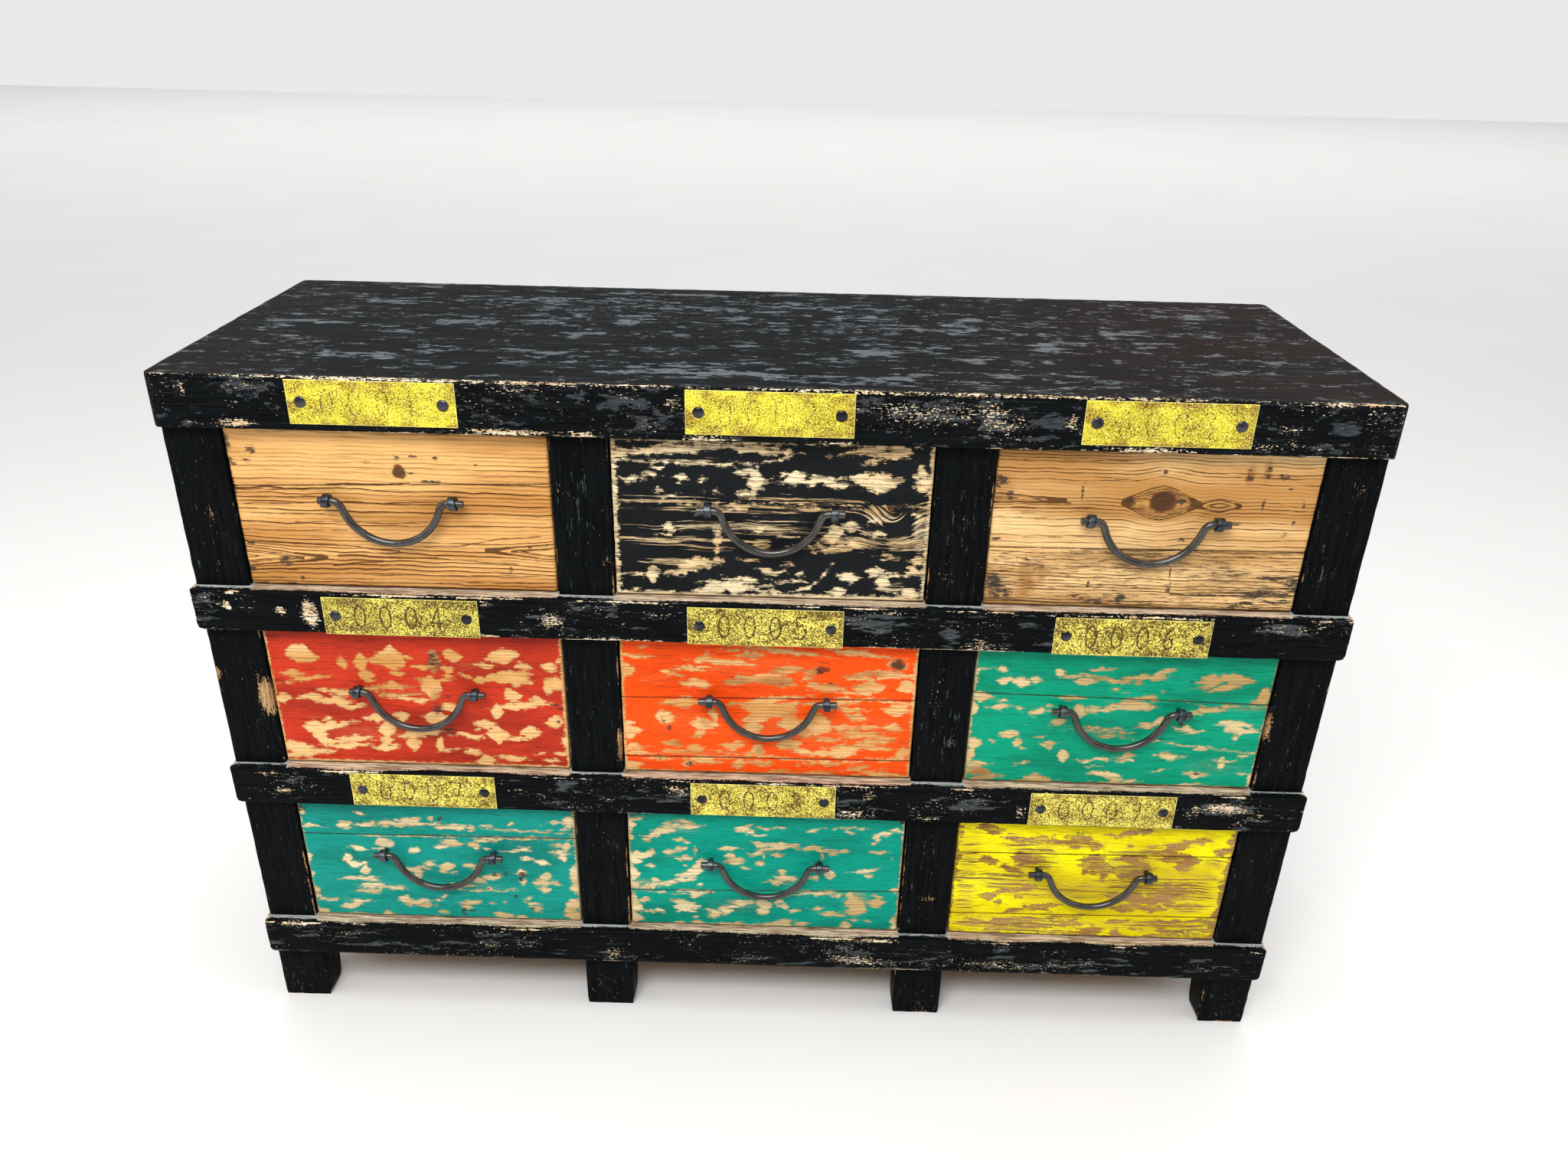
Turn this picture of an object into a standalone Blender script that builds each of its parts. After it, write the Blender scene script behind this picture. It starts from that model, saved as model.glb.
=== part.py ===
"""Nine-drawer sideboard in reclaimed pine: three columns of three drawers in a lapped face frame.

Metres, +Z up, front towards -Y. The origin is on the floor, under the middle of the whole piece
with its handles. The carcass is a heavy top on four front posts that run down as feet, with three
rails let into them, two sides, two partitions, a back on two rear posts and a bottom board.
Each drawer is a front nailed to a box, with a bail that swings in two eye bolts.
"""

from math import copysign, cos, pi, radians, sin

import bmesh
import bpy
from mathutils import Matrix

# Driving dimensions of the whole
overall_width = 1.344
overall_height = 0.900
carcass_depth = 0.443
column_names = ("left", "middle", "right")
row_names = ("bottom", "middle", "top")

# Carcass
foot_height = 0.0905
outer_post_width = 0.0635
inner_post_width = 0.065
post_depth = 0.045
heel_depth = 0.016
heel_height = 0.034
rail_height = 0.0525
rail_proud = 0.014
rail_lap = 0.012
end_overhang = 0.002
top_edge_height = 0.061
top_thickness = 0.030
side_thickness = 0.018
side_recess = 0.008
partition_thickness = 0.022
back_thickness = 0.010
bottom_thickness = 0.012
bottom_rise = 0.002

# Drawer runners
shelf_thickness = 0.015
guide_height = 0.020
shelf_spare = 0.003

# Drawers
drawer_reveal = 0.0018
drawer_recess = 0.003
front_thickness = 0.018
box_headroom = 0.017
box_wall = 0.011
box_floor = 0.006
box_floor_rise = 0.008
box_side_clearance = 0.0025
box_back_clearance = 0.008

# Handles
eye_spacing = 0.142
eye_drop_share = 0.42
eye_standoff = 0.012
eye_outer_radius = 0.008
eye_bore_radius = 0.0049
eye_width = 0.008
shank_radius = 0.003
shank_end = 0.003
nut_radius = 0.0058
nut_thickness = 0.005
rod_radius = 0.0043
bail_stub = 0.013
bail_shoulder_inset = 0.006
bail_shoulder_radius = 0.010
bail_flank_length = 0.008
bail_flank_angle = radians(69)

# Edges and fits
arris = 0.0022
front_arris = 0.003
corner_wear = 0.007
top_corner = 0.004
fit_gap = 0.0003
same_place = 0.00001
arris_steps = 2
roundness_share = 0.5
heel_steps = 4
eye_steps = 16
shank_sides = 8
nut_sides = 6
shoulder_steps = 4
bow_steps = 7
rod_resolution = 3

# Sizes worked out from the driving dimensions
columns = len(column_names)
rows = len(row_names)
half_length = overall_width / 2
half_width = half_length - end_overhang
column_clear = (2 * (half_width - outer_post_width) - (columns - 1) * inner_post_width) / columns
column_pitch = column_clear + inner_post_width
lip_bottom = overall_height - top_edge_height
row_clear = (lip_bottom - foot_height) / rows - rail_height
row_pitch = row_clear + rail_height
first_row = foot_height + rail_height
top_underside = overall_height - top_thickness
carcass_top = top_underside - fit_gap
handle_reach = eye_standoff + eye_outer_radius - drawer_recess
face_y = (handle_reach - carcass_depth) / 2
inside_back = carcass_depth - back_thickness
rear_post_front = carcass_depth - post_depth
bottom_board_top = foot_height + bottom_rise + bottom_thickness
box_width = column_clear - 2 * box_side_clearance
box_height = row_clear - box_headroom
box_front = drawer_recess + front_thickness + fit_gap
box_depth = inside_back - box_back_clearance - box_front


def row_floor(row):
    """Height of the rail top that a row of drawers slides on."""
    return first_row + row * row_pitch


def column_middle(column):
    """Place across the front of a column's middle."""
    return (column - (columns - 1) / 2) * column_pitch


def post_edges():
    """Left and right edges of the four posts, from left to right."""
    edges = [(-half_width, -half_width + outer_post_width)]
    for gap in range(columns - 1):
        middle = column_middle(gap) + column_pitch / 2
        edges.append((middle - inner_post_width / 2, middle + inner_post_width / 2))
    edges.append((half_width - outer_post_width, half_width))
    return edges


def make_material(name, colour, roughness, metallic=0.0):
    """A plain finish with the colour of the real surface."""
    material = bpy.data.materials.new(name)
    material.use_nodes = True
    shader = material.node_tree.nodes["Principled BSDF"]
    shader.inputs["Base Color"].default_value = (*colour, 1.0)
    shader.inputs["Roughness"].default_value = roughness
    shader.inputs["Metallic"].default_value = metallic
    return material


def add_object(name, data, material, location=(0, 0, 0), parent=None):
    """Put a finished mesh or curve in the scene as a piece of its own."""
    piece = bpy.data.objects.new(name, data)
    bpy.context.scene.collection.objects.link(piece)
    if not data.materials:
        data.materials.append(material)
    piece.material_slots[0].link = "OBJECT"
    piece.material_slots[0].material = material
    piece.location = location
    piece.parent = parent
    return piece


def finish_mesh(bm, name, smooth=False):
    """Turn a bmesh into a mesh with its faces pointing out."""
    bmesh.ops.recalc_face_normals(bm, faces=bm.faces)
    mesh = bpy.data.meshes.new(name)
    bm.to_mesh(mesh)
    bm.free()
    if smooth:
        mesh.shade_smooth()
        mesh.set_sharp_from_angle(angle=radians(35))
    return mesh


def prism(outline, push):
    """A flat outline of 3-D points, pushed along a vector into a closed solid."""
    bm = bmesh.new()
    face = bm.faces.new([bm.verts.new(point) for point in outline])
    pushed = bmesh.ops.extrude_face_region(bm, geom=[face])
    moved = [item for item in pushed["geom"] if isinstance(item, bmesh.types.BMVert)]
    bmesh.ops.translate(bm, vec=push, verts=moved)
    return bm


def lies_at(edge, axis, place):
    """True if both ends of an edge are at one place along an axis."""
    index = "xyz".index(axis)
    return all(abs(vert.co[index] - place) < same_place for vert in edge.verts)


def round_edges(bm, chosen, width):
    """Wear the chosen edges round."""
    edges = [edge for edge in bm.edges if chosen(edge)]
    bmesh.ops.bevel(bm, geom=edges, offset=width, segments=arris_steps, profile=roundness_share, affect="EDGES")


def make_post(name, edges, material):
    """A front post: its side outline, with a notch for each rail and a rounded heel, pushed across."""
    width = edges[1] - edges[0]
    outline = [(0, 0)]
    for rail in range(rows):
        low = row_floor(rail) - rail_height - fit_gap
        high = row_floor(rail) + fit_gap
        outline += [(0, low), (rail_lap, low), (rail_lap, high), (0, high)]
    outline += [(0, lip_bottom - fit_gap), (rail_lap, lip_bottom - fit_gap)]
    outline += [(rail_lap, carcass_top), (post_depth, carcass_top)]
    for step in range(heel_steps + 1):
        turn = pi / 2 * step / heel_steps
        heel_y = post_depth - heel_depth * (1 - cos(turn))
        outline.append((heel_y, heel_height * (1 - sin(turn))))
    bm = prism([(0, y, z) for y, z in outline], (width, 0, 0))
    round_edges(bm, lambda edge: lies_at(edge, "y", 0) and not lies_at(edge, "z", edge.verts[0].co.z), arris)
    add_object(name, finish_mesh(bm, name), material, (edges[0], face_y, 0))


def frame_outline():
    """Plan of a rail: proud of the posts in front, notched round each post behind."""
    lap = rail_lap - fit_gap
    outline = [(-half_length, -rail_proud), (half_length, -rail_proud)]
    posts = post_edges()
    for number, (left, right) in reversed(list(enumerate(posts))):
        right_edge = half_length if number == len(posts) - 1 else right + fit_gap
        left_edge = -half_length if number == 0 else left - fit_gap
        if number < len(posts) - 1:
            outline.append((right_edge, post_depth))
        outline += [(right_edge, lap), (left_edge, lap)]
        if number > 0:
            outline.append((left_edge, post_depth))
    return outline


def make_rail(name, low, high, material):
    """A rail or lip: the notched plan pushed up, with worn front edges and bottom corners."""
    bm = prism([(x, y, low) for x, y in frame_outline()], (0, 0, high - low))

    def bottom_end(edge):
        at_end = lies_at(edge, "x", -half_length) or lies_at(edge, "x", half_length)
        return at_end and lies_at(edge, "z", low)

    def front_edge(edge):
        at_end = lies_at(edge, "x", -half_length) or lies_at(edge, "x", half_length)
        return lies_at(edge, "y", -rail_proud) and (at_end or not lies_at(edge, "x", edge.verts[0].co.x))

    round_edges(bm, bottom_end, corner_wear)
    round_edges(bm, front_edge, arris)
    add_object(name, finish_mesh(bm, name), material, (0, face_y, 0))


def make_top(material):
    """The top: one thick panel from the rails' front plane to the back, with eased corners."""
    corners = [(-half_length, -rail_proud), (half_length, -rail_proud)]
    corners += [(half_length, carcass_depth), (-half_length, carcass_depth)]
    bm = prism([(x, y, top_underside) for x, y in corners], (0, 0, top_thickness))
    round_edges(bm, lambda edge: not lies_at(edge, "z", edge.verts[0].co.z), top_corner)
    round_edges(bm, lambda edge: lies_at(edge, "z", overall_height), arris)
    add_object("top_panel", finish_mesh(bm, "top_panel"), material, (0, face_y, 0))


def runner_steps(wall, guide, tip):
    """One face of a runner wall, top row first: a guide above a shelf for each row of drawers."""
    steps = []
    for row in reversed(range(rows)):
        floor = row_floor(row)
        steps += [(wall, floor + guide_height), (guide, floor + guide_height), (guide, floor)]
        steps += [(tip, floor), (tip, floor - shelf_thickness), (wall, floor - shelf_thickness)]
    return steps


def make_side(name, edges, material):
    """A side panel with its three runners, as one profile pushed from the front post to the rear one."""
    sign = copysign(1, sum(edges))
    outer = half_width - side_recess
    inner = outer - side_thickness
    guide = half_width - outer_post_width
    tip = guide - box_side_clearance - box_wall - shelf_spare
    profile = [(outer, foot_height), (outer, carcass_top), (inner, carcass_top)]
    profile += runner_steps(inner, guide, tip) + [(inner, foot_height)]
    start = post_depth + fit_gap
    length = rear_post_front - fit_gap - start
    bm = prism([(sign * x, start, z) for x, z in profile], (0, length, 0))
    add_object(name, finish_mesh(bm, name), material, (0, face_y, 0))


def make_partition(name, middle, material):
    """A partition behind an inner post, with runners on both faces."""
    wall = partition_thickness / 2
    guide = inner_post_width / 2
    tip = guide + box_side_clearance + box_wall + shelf_spare
    base = bottom_board_top + fit_gap
    right_face = [(wall, carcass_top)] + runner_steps(wall, guide, tip) + [(wall, base)]
    profile = right_face + [(-x, z) for x, z in reversed(right_face)]
    start = post_depth + fit_gap
    length = inside_back - fit_gap - start
    bm = prism([(x, start, z) for x, z in profile], (0, length, 0))
    add_object(name, finish_mesh(bm, name), material, (middle, face_y, 0))


def make_back(material):
    """The back board between two rear posts that run down as feet."""
    inner = half_width - outer_post_width
    bm = bmesh.new()

    def point(x, z):
        return bm.verts.new((x, inside_back, z))

    left = [point(-half_width, 0), point(-inner, 0), point(-inner, foot_height)]
    left += [point(-inner, carcass_top), point(-half_width, carcass_top)]
    right = [point(half_width, 0), point(inner, 0), point(inner, foot_height)]
    right += [point(inner, carcass_top), point(half_width, carcass_top)]
    strips = [bm.faces.new(left), bm.faces.new(list(reversed(right)))]
    board = bm.faces.new([left[2], right[2], right[3], left[3]])
    pushed = bmesh.ops.extrude_face_region(bm, geom=strips + [board])
    moved = [item for item in pushed["geom"] if isinstance(item, bmesh.types.BMVert)]
    bmesh.ops.translate(bm, vec=(0, back_thickness, 0), verts=moved)
    raised = bmesh.ops.extrude_discrete_faces(bm, faces=strips)["faces"]
    moved = {vert for face in raised for vert in face.verts}
    bmesh.ops.translate(bm, vec=(0, rear_post_front - inside_back, 0), verts=list(moved))
    add_object("back_frame", finish_mesh(bm, "back_frame"), material, (0, face_y, 0))


def make_bottom_board(material):
    """The board under the lowest drawers, notched round the rear posts."""
    side = half_width - side_recess - side_thickness - fit_gap
    notch = half_width - outer_post_width - fit_gap
    front = post_depth + fit_gap
    shoulder = rear_post_front - fit_gap
    back = inside_back - fit_gap
    low = foot_height + bottom_rise
    right = [(side, front), (side, shoulder), (notch, shoulder), (notch, back)]
    outline = right + [(-x, y) for x, y in reversed(right)]
    bm = prism([(x, y, low) for x, y in outline], (0, 0, bottom_thickness))
    add_object("bottom_board", finish_mesh(bm, "bottom_board"), material, (0, face_y, 0))


def add_template(name, mesh):
    """A plain object that is only shaped, read and removed again."""
    template = bpy.data.objects.new(name, mesh)
    bpy.context.scene.collection.objects.link(template)
    return template


def combined(name, base, others, operation):
    """The closed mesh of one body cut or joined by others."""
    body = add_template(name, base)
    tools = [add_template(name + "_tool", mesh) for mesh in others]
    for tool in tools:
        modifier = body.modifiers.new(name, "BOOLEAN")
        modifier.operation = operation
        modifier.object = tool
    shaped = body.evaluated_get(bpy.context.evaluated_depsgraph_get())
    mesh = bpy.data.meshes.new_from_object(shaped)
    mesh.name = name
    for leftover in [body] + tools:
        bpy.data.objects.remove(leftover)
    return mesh


def cylinder_along_y(radius, start, end, sides, x=0.0, z=0.0):
    """A bolt-like round bar along Y."""
    bm = bmesh.new()
    middle = Matrix.Translation((x, (start + end) / 2, z))
    turn = Matrix.Rotation(pi / 2, 4, "X")
    bmesh.ops.create_cone(bm, cap_ends=True, segments=sides, radius1=radius, radius2=radius,
                          depth=end - start, matrix=middle @ turn)
    return finish_mesh(bm, "bar")


# A drawer's own frame has its zero at the middle of the opening's sill, in the plane of the post faces.
eye_height = row_clear * (1 - eye_drop_share)
eye_y = drawer_recess - eye_standoff


def shank_holes(start, end):
    """Cutters for the two holes that the eye bolts pass through."""
    radius = shank_radius + fit_gap
    places = (-eye_spacing / 2, eye_spacing / 2)
    return [cylinder_along_y(radius, start, end, shank_sides, x, eye_height) for x in places]


def drawer_front_mesh():
    """A thick front with rounded face edges and two holes for the eye bolts."""
    side = column_clear / 2 - drawer_reveal
    low = drawer_reveal
    high = row_clear - drawer_reveal
    back = drawer_recess + front_thickness
    bm = prism([(-side, back, low), (side, back, low), (side, back, high), (-side, back, high)],
               (0, -front_thickness, 0))
    round_edges(bm, lambda edge: lies_at(edge, "y", drawer_recess), front_arris)
    holes = shank_holes(0, box_front + box_wall)
    return combined("drawer_front", finish_mesh(bm, "drawer_front"), holes, "DIFFERENCE")


def drawer_box_mesh():
    """An open box: four walls round a bottom that is let in above their lower edges."""
    side = box_width / 2
    back = box_front + box_depth
    corners = [(-side, box_front), (side, box_front), (side, back), (-side, back)]
    bm = prism([(x, y, fit_gap) for x, y in corners], (0, 0, box_height))
    hollows = ((fit_gap + box_height, box_floor_rise + box_floor - box_height), (fit_gap, box_floor_rise))
    for level, depth in hollows:
        face = next(face for face in bm.faces if all(abs(v.co.z - level) < same_place for v in face.verts))
        bmesh.ops.inset_region(bm, faces=[face], thickness=box_wall, use_even_offset=True)
        sunk = bmesh.ops.extrude_discrete_faces(bm, faces=[face])["faces"]
        bmesh.ops.translate(bm, vec=(0, 0, depth), verts=sunk[0].verts)
    holes = shank_holes(drawer_recess, box_front + box_wall + nut_thickness)
    return combined("drawer_box", finish_mesh(bm, "drawer_box"), holes, "DIFFERENCE")


def eye_mesh():
    """An eye bolt: a flat ring round the rod, a shank through the front and a nut inside."""
    bm = bmesh.new()
    section = [(-eye_width / 2, eye_bore_radius), (eye_width / 2, eye_bore_radius)]
    section += [(eye_width / 2, eye_outer_radius), (-eye_width / 2, eye_outer_radius)]
    verts = [bm.verts.new((x, 0, z)) for x, z in section]
    edges = [bm.edges.new((verts[i - 1], verts[i])) for i in range(len(verts))]
    bmesh.ops.spin(bm, geom=verts + edges, cent=(0, 0, 0), axis=(1, 0, 0), angle=2 * pi, steps=eye_steps,
                   use_merge=True)
    bmesh.ops.remove_doubles(bm, verts=bm.verts, dist=same_place)
    ring = finish_mesh(bm, "eye_ring")
    nut_start = box_front + box_wall + fit_gap - eye_y
    shank_tip = nut_start + nut_thickness + shank_end
    ring_middle = (eye_bore_radius + eye_outer_radius) / 2
    shank = cylinder_along_y(shank_radius, ring_middle, shank_tip, shank_sides)
    nut = cylinder_along_y(nut_radius, nut_start, nut_start + nut_thickness, nut_sides)
    mesh = combined("eye", ring, [shank, nut], "UNION")
    mesh.shade_smooth()
    mesh.set_sharp_from_angle(angle=radians(35))
    return mesh


def bail_points():
    """The rod's centreline: straight through the eye, round the shoulder, down the flank and round the bow."""
    start = eye_spacing / 2 - bail_shoulder_inset
    flank_run = bail_flank_length * cos(bail_flank_angle)
    bow_radius = (start - flank_run) / sin(bail_flank_angle) - bail_shoulder_radius
    half = [(eye_spacing / 2 + bail_stub, 0)]
    for step in range(shoulder_steps + 1):
        turn = bail_flank_angle * step / shoulder_steps
        half.append((start - bail_shoulder_radius * sin(turn), bail_shoulder_radius * (cos(turn) - 1)))
    bow_top = half[-1][1] - bail_flank_length * sin(bail_flank_angle)
    bow_middle = bow_top + bow_radius * cos(bail_flank_angle)
    for step in range(bow_steps + 1):
        turn = bail_flank_angle * (1 - step / bow_steps)
        half.append((bow_radius * sin(turn), bow_middle - bow_radius * cos(turn)))
    return [(-x, z) for x, z in half[:-1]] + list(reversed(half))


def bail_curve():
    """The bail as a round rod along its centreline."""
    curve = bpy.data.curves.new("bail", "CURVE")
    curve.dimensions = "3D"
    curve.bevel_depth = rod_radius
    curve.bevel_resolution = rod_resolution
    curve.use_fill_caps = True
    points = bail_points()
    spline = curve.splines.new("POLY")
    spline.points.add(len(points) - 1)
    for place, (x, z) in zip(spline.points, points):
        place.co = (x, 0, z, 1)
    return curve


def make_drawer(name, column, row, parts, paint, box_wood, metal):
    """One drawer on its own empty, with its front, its box, two eye bolts and the swinging bail."""
    slide = bpy.data.objects.new(name, None)
    bpy.context.scene.collection.objects.link(slide)
    slide.location = (column_middle(column), face_y, row_floor(row))
    add_object(name + "_front", parts["front"], paint, parent=slide)
    add_object(name + "_box", parts["box"], box_wood, parent=slide)
    add_object(name + "_eye_left", parts["eye"], metal, (-eye_spacing / 2, eye_y, eye_height), slide)
    add_object(name + "_eye_right", parts["eye"], metal, (eye_spacing / 2, eye_y, eye_height), slide)
    add_object(name + "_bail", parts["bail"], metal, (0, eye_y, eye_height), slide)


def make_carcass(black, raw):
    """All the fixed pieces."""
    posts = post_edges()
    for name, edges in zip(("post_left", "post_inner_left", "post_inner_right", "post_right"), posts):
        make_post(name, edges, black)
    for row, name in enumerate(("rail_base", "rail_lower", "rail_upper")):
        make_rail(name, row_floor(row) - rail_height, row_floor(row), black)
    make_rail("top_front_lip", lip_bottom, carcass_top, black)
    make_top(black)
    for name, edges in (("side_left", posts[0]), ("side_right", posts[-1])):
        make_side(name, edges, black)
    for name, edges in zip(("partition_left", "partition_right"), posts[1:-1]):
        make_partition(name, sum(edges) / 2, raw)
    make_back(black)
    make_bottom_board(raw)


def build():
    """The whole sideboard."""
    for leftover in list(bpy.data.objects):
        bpy.data.objects.remove(leftover)
    black = make_material("black_paint", (0.012, 0.013, 0.015), 0.45)
    raw = make_material("raw_pine", (0.45, 0.27, 0.12), 0.7)
    metal = make_material("dark_iron", (0.09, 0.085, 0.08), 0.4, 0.9)
    pine = make_material("worn_pine", (0.52, 0.25, 0.08), 0.5)
    paints = {
        ("left", "top"): pine,
        ("middle", "top"): black,
        ("right", "top"): pine,
        ("left", "middle"): make_material("dark_red_paint", (0.42, 0.025, 0.02), 0.5),
        ("middle", "middle"): make_material("orange_paint", (0.85, 0.08, 0.012), 0.5),
        ("right", "middle"): make_material("emerald_paint", (0.01, 0.30, 0.16), 0.5),
        ("left", "bottom"): make_material("teal_paint", (0.012, 0.31, 0.24), 0.5),
        ("middle", "bottom"): make_material("sea_green_paint", (0.01, 0.26, 0.18), 0.5),
        ("right", "bottom"): make_material("yellow_paint", (0.85, 0.72, 0.01), 0.5),
    }
    make_carcass(black, raw)
    parts = {"front": drawer_front_mesh(), "box": drawer_box_mesh(), "eye": eye_mesh(), "bail": bail_curve()}
    for row, row_name in enumerate(row_names):
        for column, column_name in enumerate(column_names):
            name = "drawer_" + row_name + "_" + column_name
            paint = paints[column_name, row_name]
            make_drawer(name, column, row, parts, paint, raw, metal)


build()
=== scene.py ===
# %% [markdown]
# # A nine-drawer sideboard in worn paint
#
# This lesson dresses a sideboard made of old pine: a black frame that is rubbed through to the wood,
# nine drawer fronts of which no two are painted alike, iron bails in eye bolts, and speckled yellow
# number plates held by dome nails. The solids come from a CAD model, which fixes every size. We load
# it first, and put each finished piece exactly where the solid that it stands for is.

from math import cos, pi, radians, sin

import bmesh
import bpy
import numpy as np
from mathutils import Matrix, Vector, noise


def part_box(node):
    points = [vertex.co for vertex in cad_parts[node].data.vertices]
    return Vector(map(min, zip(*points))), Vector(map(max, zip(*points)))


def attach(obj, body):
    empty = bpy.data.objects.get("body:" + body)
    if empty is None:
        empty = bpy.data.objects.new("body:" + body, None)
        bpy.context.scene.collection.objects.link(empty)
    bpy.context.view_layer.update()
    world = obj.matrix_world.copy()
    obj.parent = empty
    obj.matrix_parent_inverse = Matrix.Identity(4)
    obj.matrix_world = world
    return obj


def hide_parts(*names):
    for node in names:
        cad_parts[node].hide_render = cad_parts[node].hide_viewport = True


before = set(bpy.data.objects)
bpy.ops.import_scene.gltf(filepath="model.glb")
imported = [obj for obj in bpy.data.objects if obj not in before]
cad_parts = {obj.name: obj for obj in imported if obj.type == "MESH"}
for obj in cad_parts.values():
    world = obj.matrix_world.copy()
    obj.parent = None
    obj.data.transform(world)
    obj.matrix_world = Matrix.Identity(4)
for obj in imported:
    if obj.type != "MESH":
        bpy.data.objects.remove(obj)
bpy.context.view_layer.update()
scene = bpy.context.scene
bpy.ops.object.select_all(action="DESELECT")

# %% [markdown]
# ## Camera
#
# The photo was taken close to the middle of the piece and from a little above it, so the front tapers
# towards the floor. A wide lens near the object gives that taper; a long lens further
# away would flatten it. The angles were worked out from the corners of the frame.

# %% Place the camera
camera_place = Vector((0.02787, -1.4406, 1.2730))
camera_pitch = -0.4640
camera_yaw = -0.0096
camera_roll = 0.0234
camera_data = bpy.data.cameras.new("camera")
camera_data.lens = 27.289
camera_data.sensor_width = 36.0
camera = bpy.data.objects.new("camera", camera_data)
scene.collection.objects.link(camera)
looks = Vector((sin(camera_yaw) * cos(camera_pitch), cos(camera_yaw) * cos(camera_pitch), sin(camera_pitch)))
level = Vector((cos(camera_yaw), -sin(camera_yaw), 0))
upright = level.cross(looks)
right = cos(camera_roll) * level + sin(camera_roll) * upright
up = -sin(camera_roll) * level + cos(camera_roll) * upright
camera.matrix_world = Matrix.Translation(camera_place) @ Matrix((right, up, -looks)).transposed().to_4x4()
scene.camera = camera
print("camera stands", round(camera_place.z, 3), "m high")

# %% [markdown]
# ## Light and floor
#
# A shop lit by large lamps overhead: soft light from above the front, a broad fill from each side, and
# a pale floor that throws some of it back. Black paint mirrors whatever stands behind it, so the studio
# has a dark wall: its surroundings are pale at the horizon, dark above that, and bright overhead. The
# camera itself sees only a plain pale background, so that every view has the same quiet setting.

# %% Set up the studio
horizon_light = 0.82
wall_bands = ((0.12, 0.10), (0.45, 0.14))
overhead_light = 1.0


def grey(light):
    return (light, light, light, 1.0)


world = bpy.data.worlds.new("studio")
world.use_nodes = True
sky = world.node_tree
height = sky.nodes.new("ShaderNodeSeparateXYZ")
sky.links.new(sky.nodes.new("ShaderNodeTexCoord").outputs["Generated"], height.inputs[0])
bands = sky.nodes.new("ShaderNodeValToRGB")
sky.links.new(height.outputs[2], bands.inputs[0])
lowest, highest = bands.color_ramp.elements
lowest.position = 0.04
lowest.color = grey(horizon_light)
highest.position = 0.92
highest.color = grey(overhead_light)
for position, light in wall_bands:
    bands.color_ramp.elements.new(position).color = grey(light)
backdrop = sky.nodes.new("ShaderNodeMix")
backdrop.data_type = "RGBA"
backdrop.inputs[7].default_value = grey(horizon_light)
sky.links.new(sky.nodes.new("ShaderNodeLightPath").outputs["Is Camera Ray"], backdrop.inputs[0])
sky.links.new(bands.outputs[0], backdrop.inputs[6])
sky.links.new(backdrop.outputs[2], sky.nodes["Background"].inputs["Color"])
scene.world = world
scene.view_settings.view_transform = "Standard"


def add_lamp(name, place, target, width, depth, power):
    """A rectangular panel of light at a place, turned towards a target."""
    lamp_data = bpy.data.lights.new(name, "AREA")
    lamp_data.shape = "RECTANGLE"
    lamp_data.size = width
    lamp_data.size_y = depth
    lamp_data.energy = power
    lamp = bpy.data.objects.new(name, lamp_data)
    scene.collection.objects.link(lamp)
    lamp.location = place
    lamp.rotation_euler = (Vector(target) - Vector(place)).to_track_quat("-Z", "Y").to_euler()


add_lamp("lamp_front", (-0.5, -2.4, 3.2), (0, -0.2, 0.5), width=2.0, depth=1.1, power=108)
add_lamp("lamp_overhead", (0.2, -0.2, 3.4), (0, 0, 0.8), width=2.4, depth=1.6, power=24)
add_lamp("lamp_left", (-3.0, -0.8, 1.8), (0, 0, 0.5), width=1.6, depth=1.6, power=22)
add_lamp("lamp_right", (3.0, -0.6, 2.0), (0, 0, 0.5), width=1.6, depth=1.6, power=22)
add_lamp("lamp_floor", (0.0, 11.0, 9.0), (0, 11.0, 0.0), width=24.0, depth=8.0, power=1150)

bpy.ops.mesh.primitive_plane_add(size=30)
floor = bpy.context.object
floor.name = "floor"

# %% [markdown]
# ## A small kit for materials
#
# Every finish here is a stack of layers: wood, then paint, then the places where the paint has gone.
# Building such stacks from raw nodes is wordy, so one class keeps the tree, and another stands for what
# a node gives out. Such layers are added and multiplied like numbers, and each sign makes a node.
# Noise that is stretched a long way along the grain is what turns a plain colour into wood.

# %% Layers and finishes
def colour(code):
    """A paint-card colour of six hexadecimal digits, as linear light."""
    parts = [int(code[place:place + 2], 16) / 255 for place in (0, 2, 4)]
    linear = [part / 12.92 if part <= 0.04045 else ((part + 0.055) / 1.055) ** 2.4 for part in parts]
    return (*linear, 1.0)


class Layer:
    """What one node gives out over the surface: a number or a colour."""

    def __init__(self, finish, socket):
        self.finish = finish
        self.socket = socket

    def __add__(self, other):
        return self.finish.math("ADD", self, other)

    def __sub__(self, other):
        return self.finish.math("SUBTRACT", self, other)

    def __rsub__(self, other):
        return self.finish.math("SUBTRACT", other, self)

    def __mul__(self, other):
        return self.finish.math("MULTIPLY", self, other)

    def __truediv__(self, other):
        return self.finish.math("DIVIDE", self, other)

    def __pow__(self, other):
        return self.finish.math("POWER", self, other)

    def __neg__(self):
        return self * -1.0

    def most(self, other):
        """The larger of two numbers at each place."""
        return self.finish.math("MAXIMUM", self, other)

    def least(self, other):
        """The smaller of two numbers at each place."""
        return self.finish.math("MINIMUM", self, other)

    def sway(self, reach):
        """Noise turned into an offset that goes both ways from zero."""
        return (self - 0.5) * reach

    def span(self, low, high, new_low=0.0, new_high=1.0):
        """A smooth step from new_low to new_high while the number goes from low to high."""
        inputs = {"Value": self, "From Min": low, "From Max": high, "To Min": new_low, "To Max": new_high}
        return self.finish.add("MapRange", inputs, interpolation_type="SMOOTHSTEP")

    def toward(self, other, share):
        """This colour, taken towards another one by a share."""
        return self.finish.mix(share, self, other)


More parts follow.
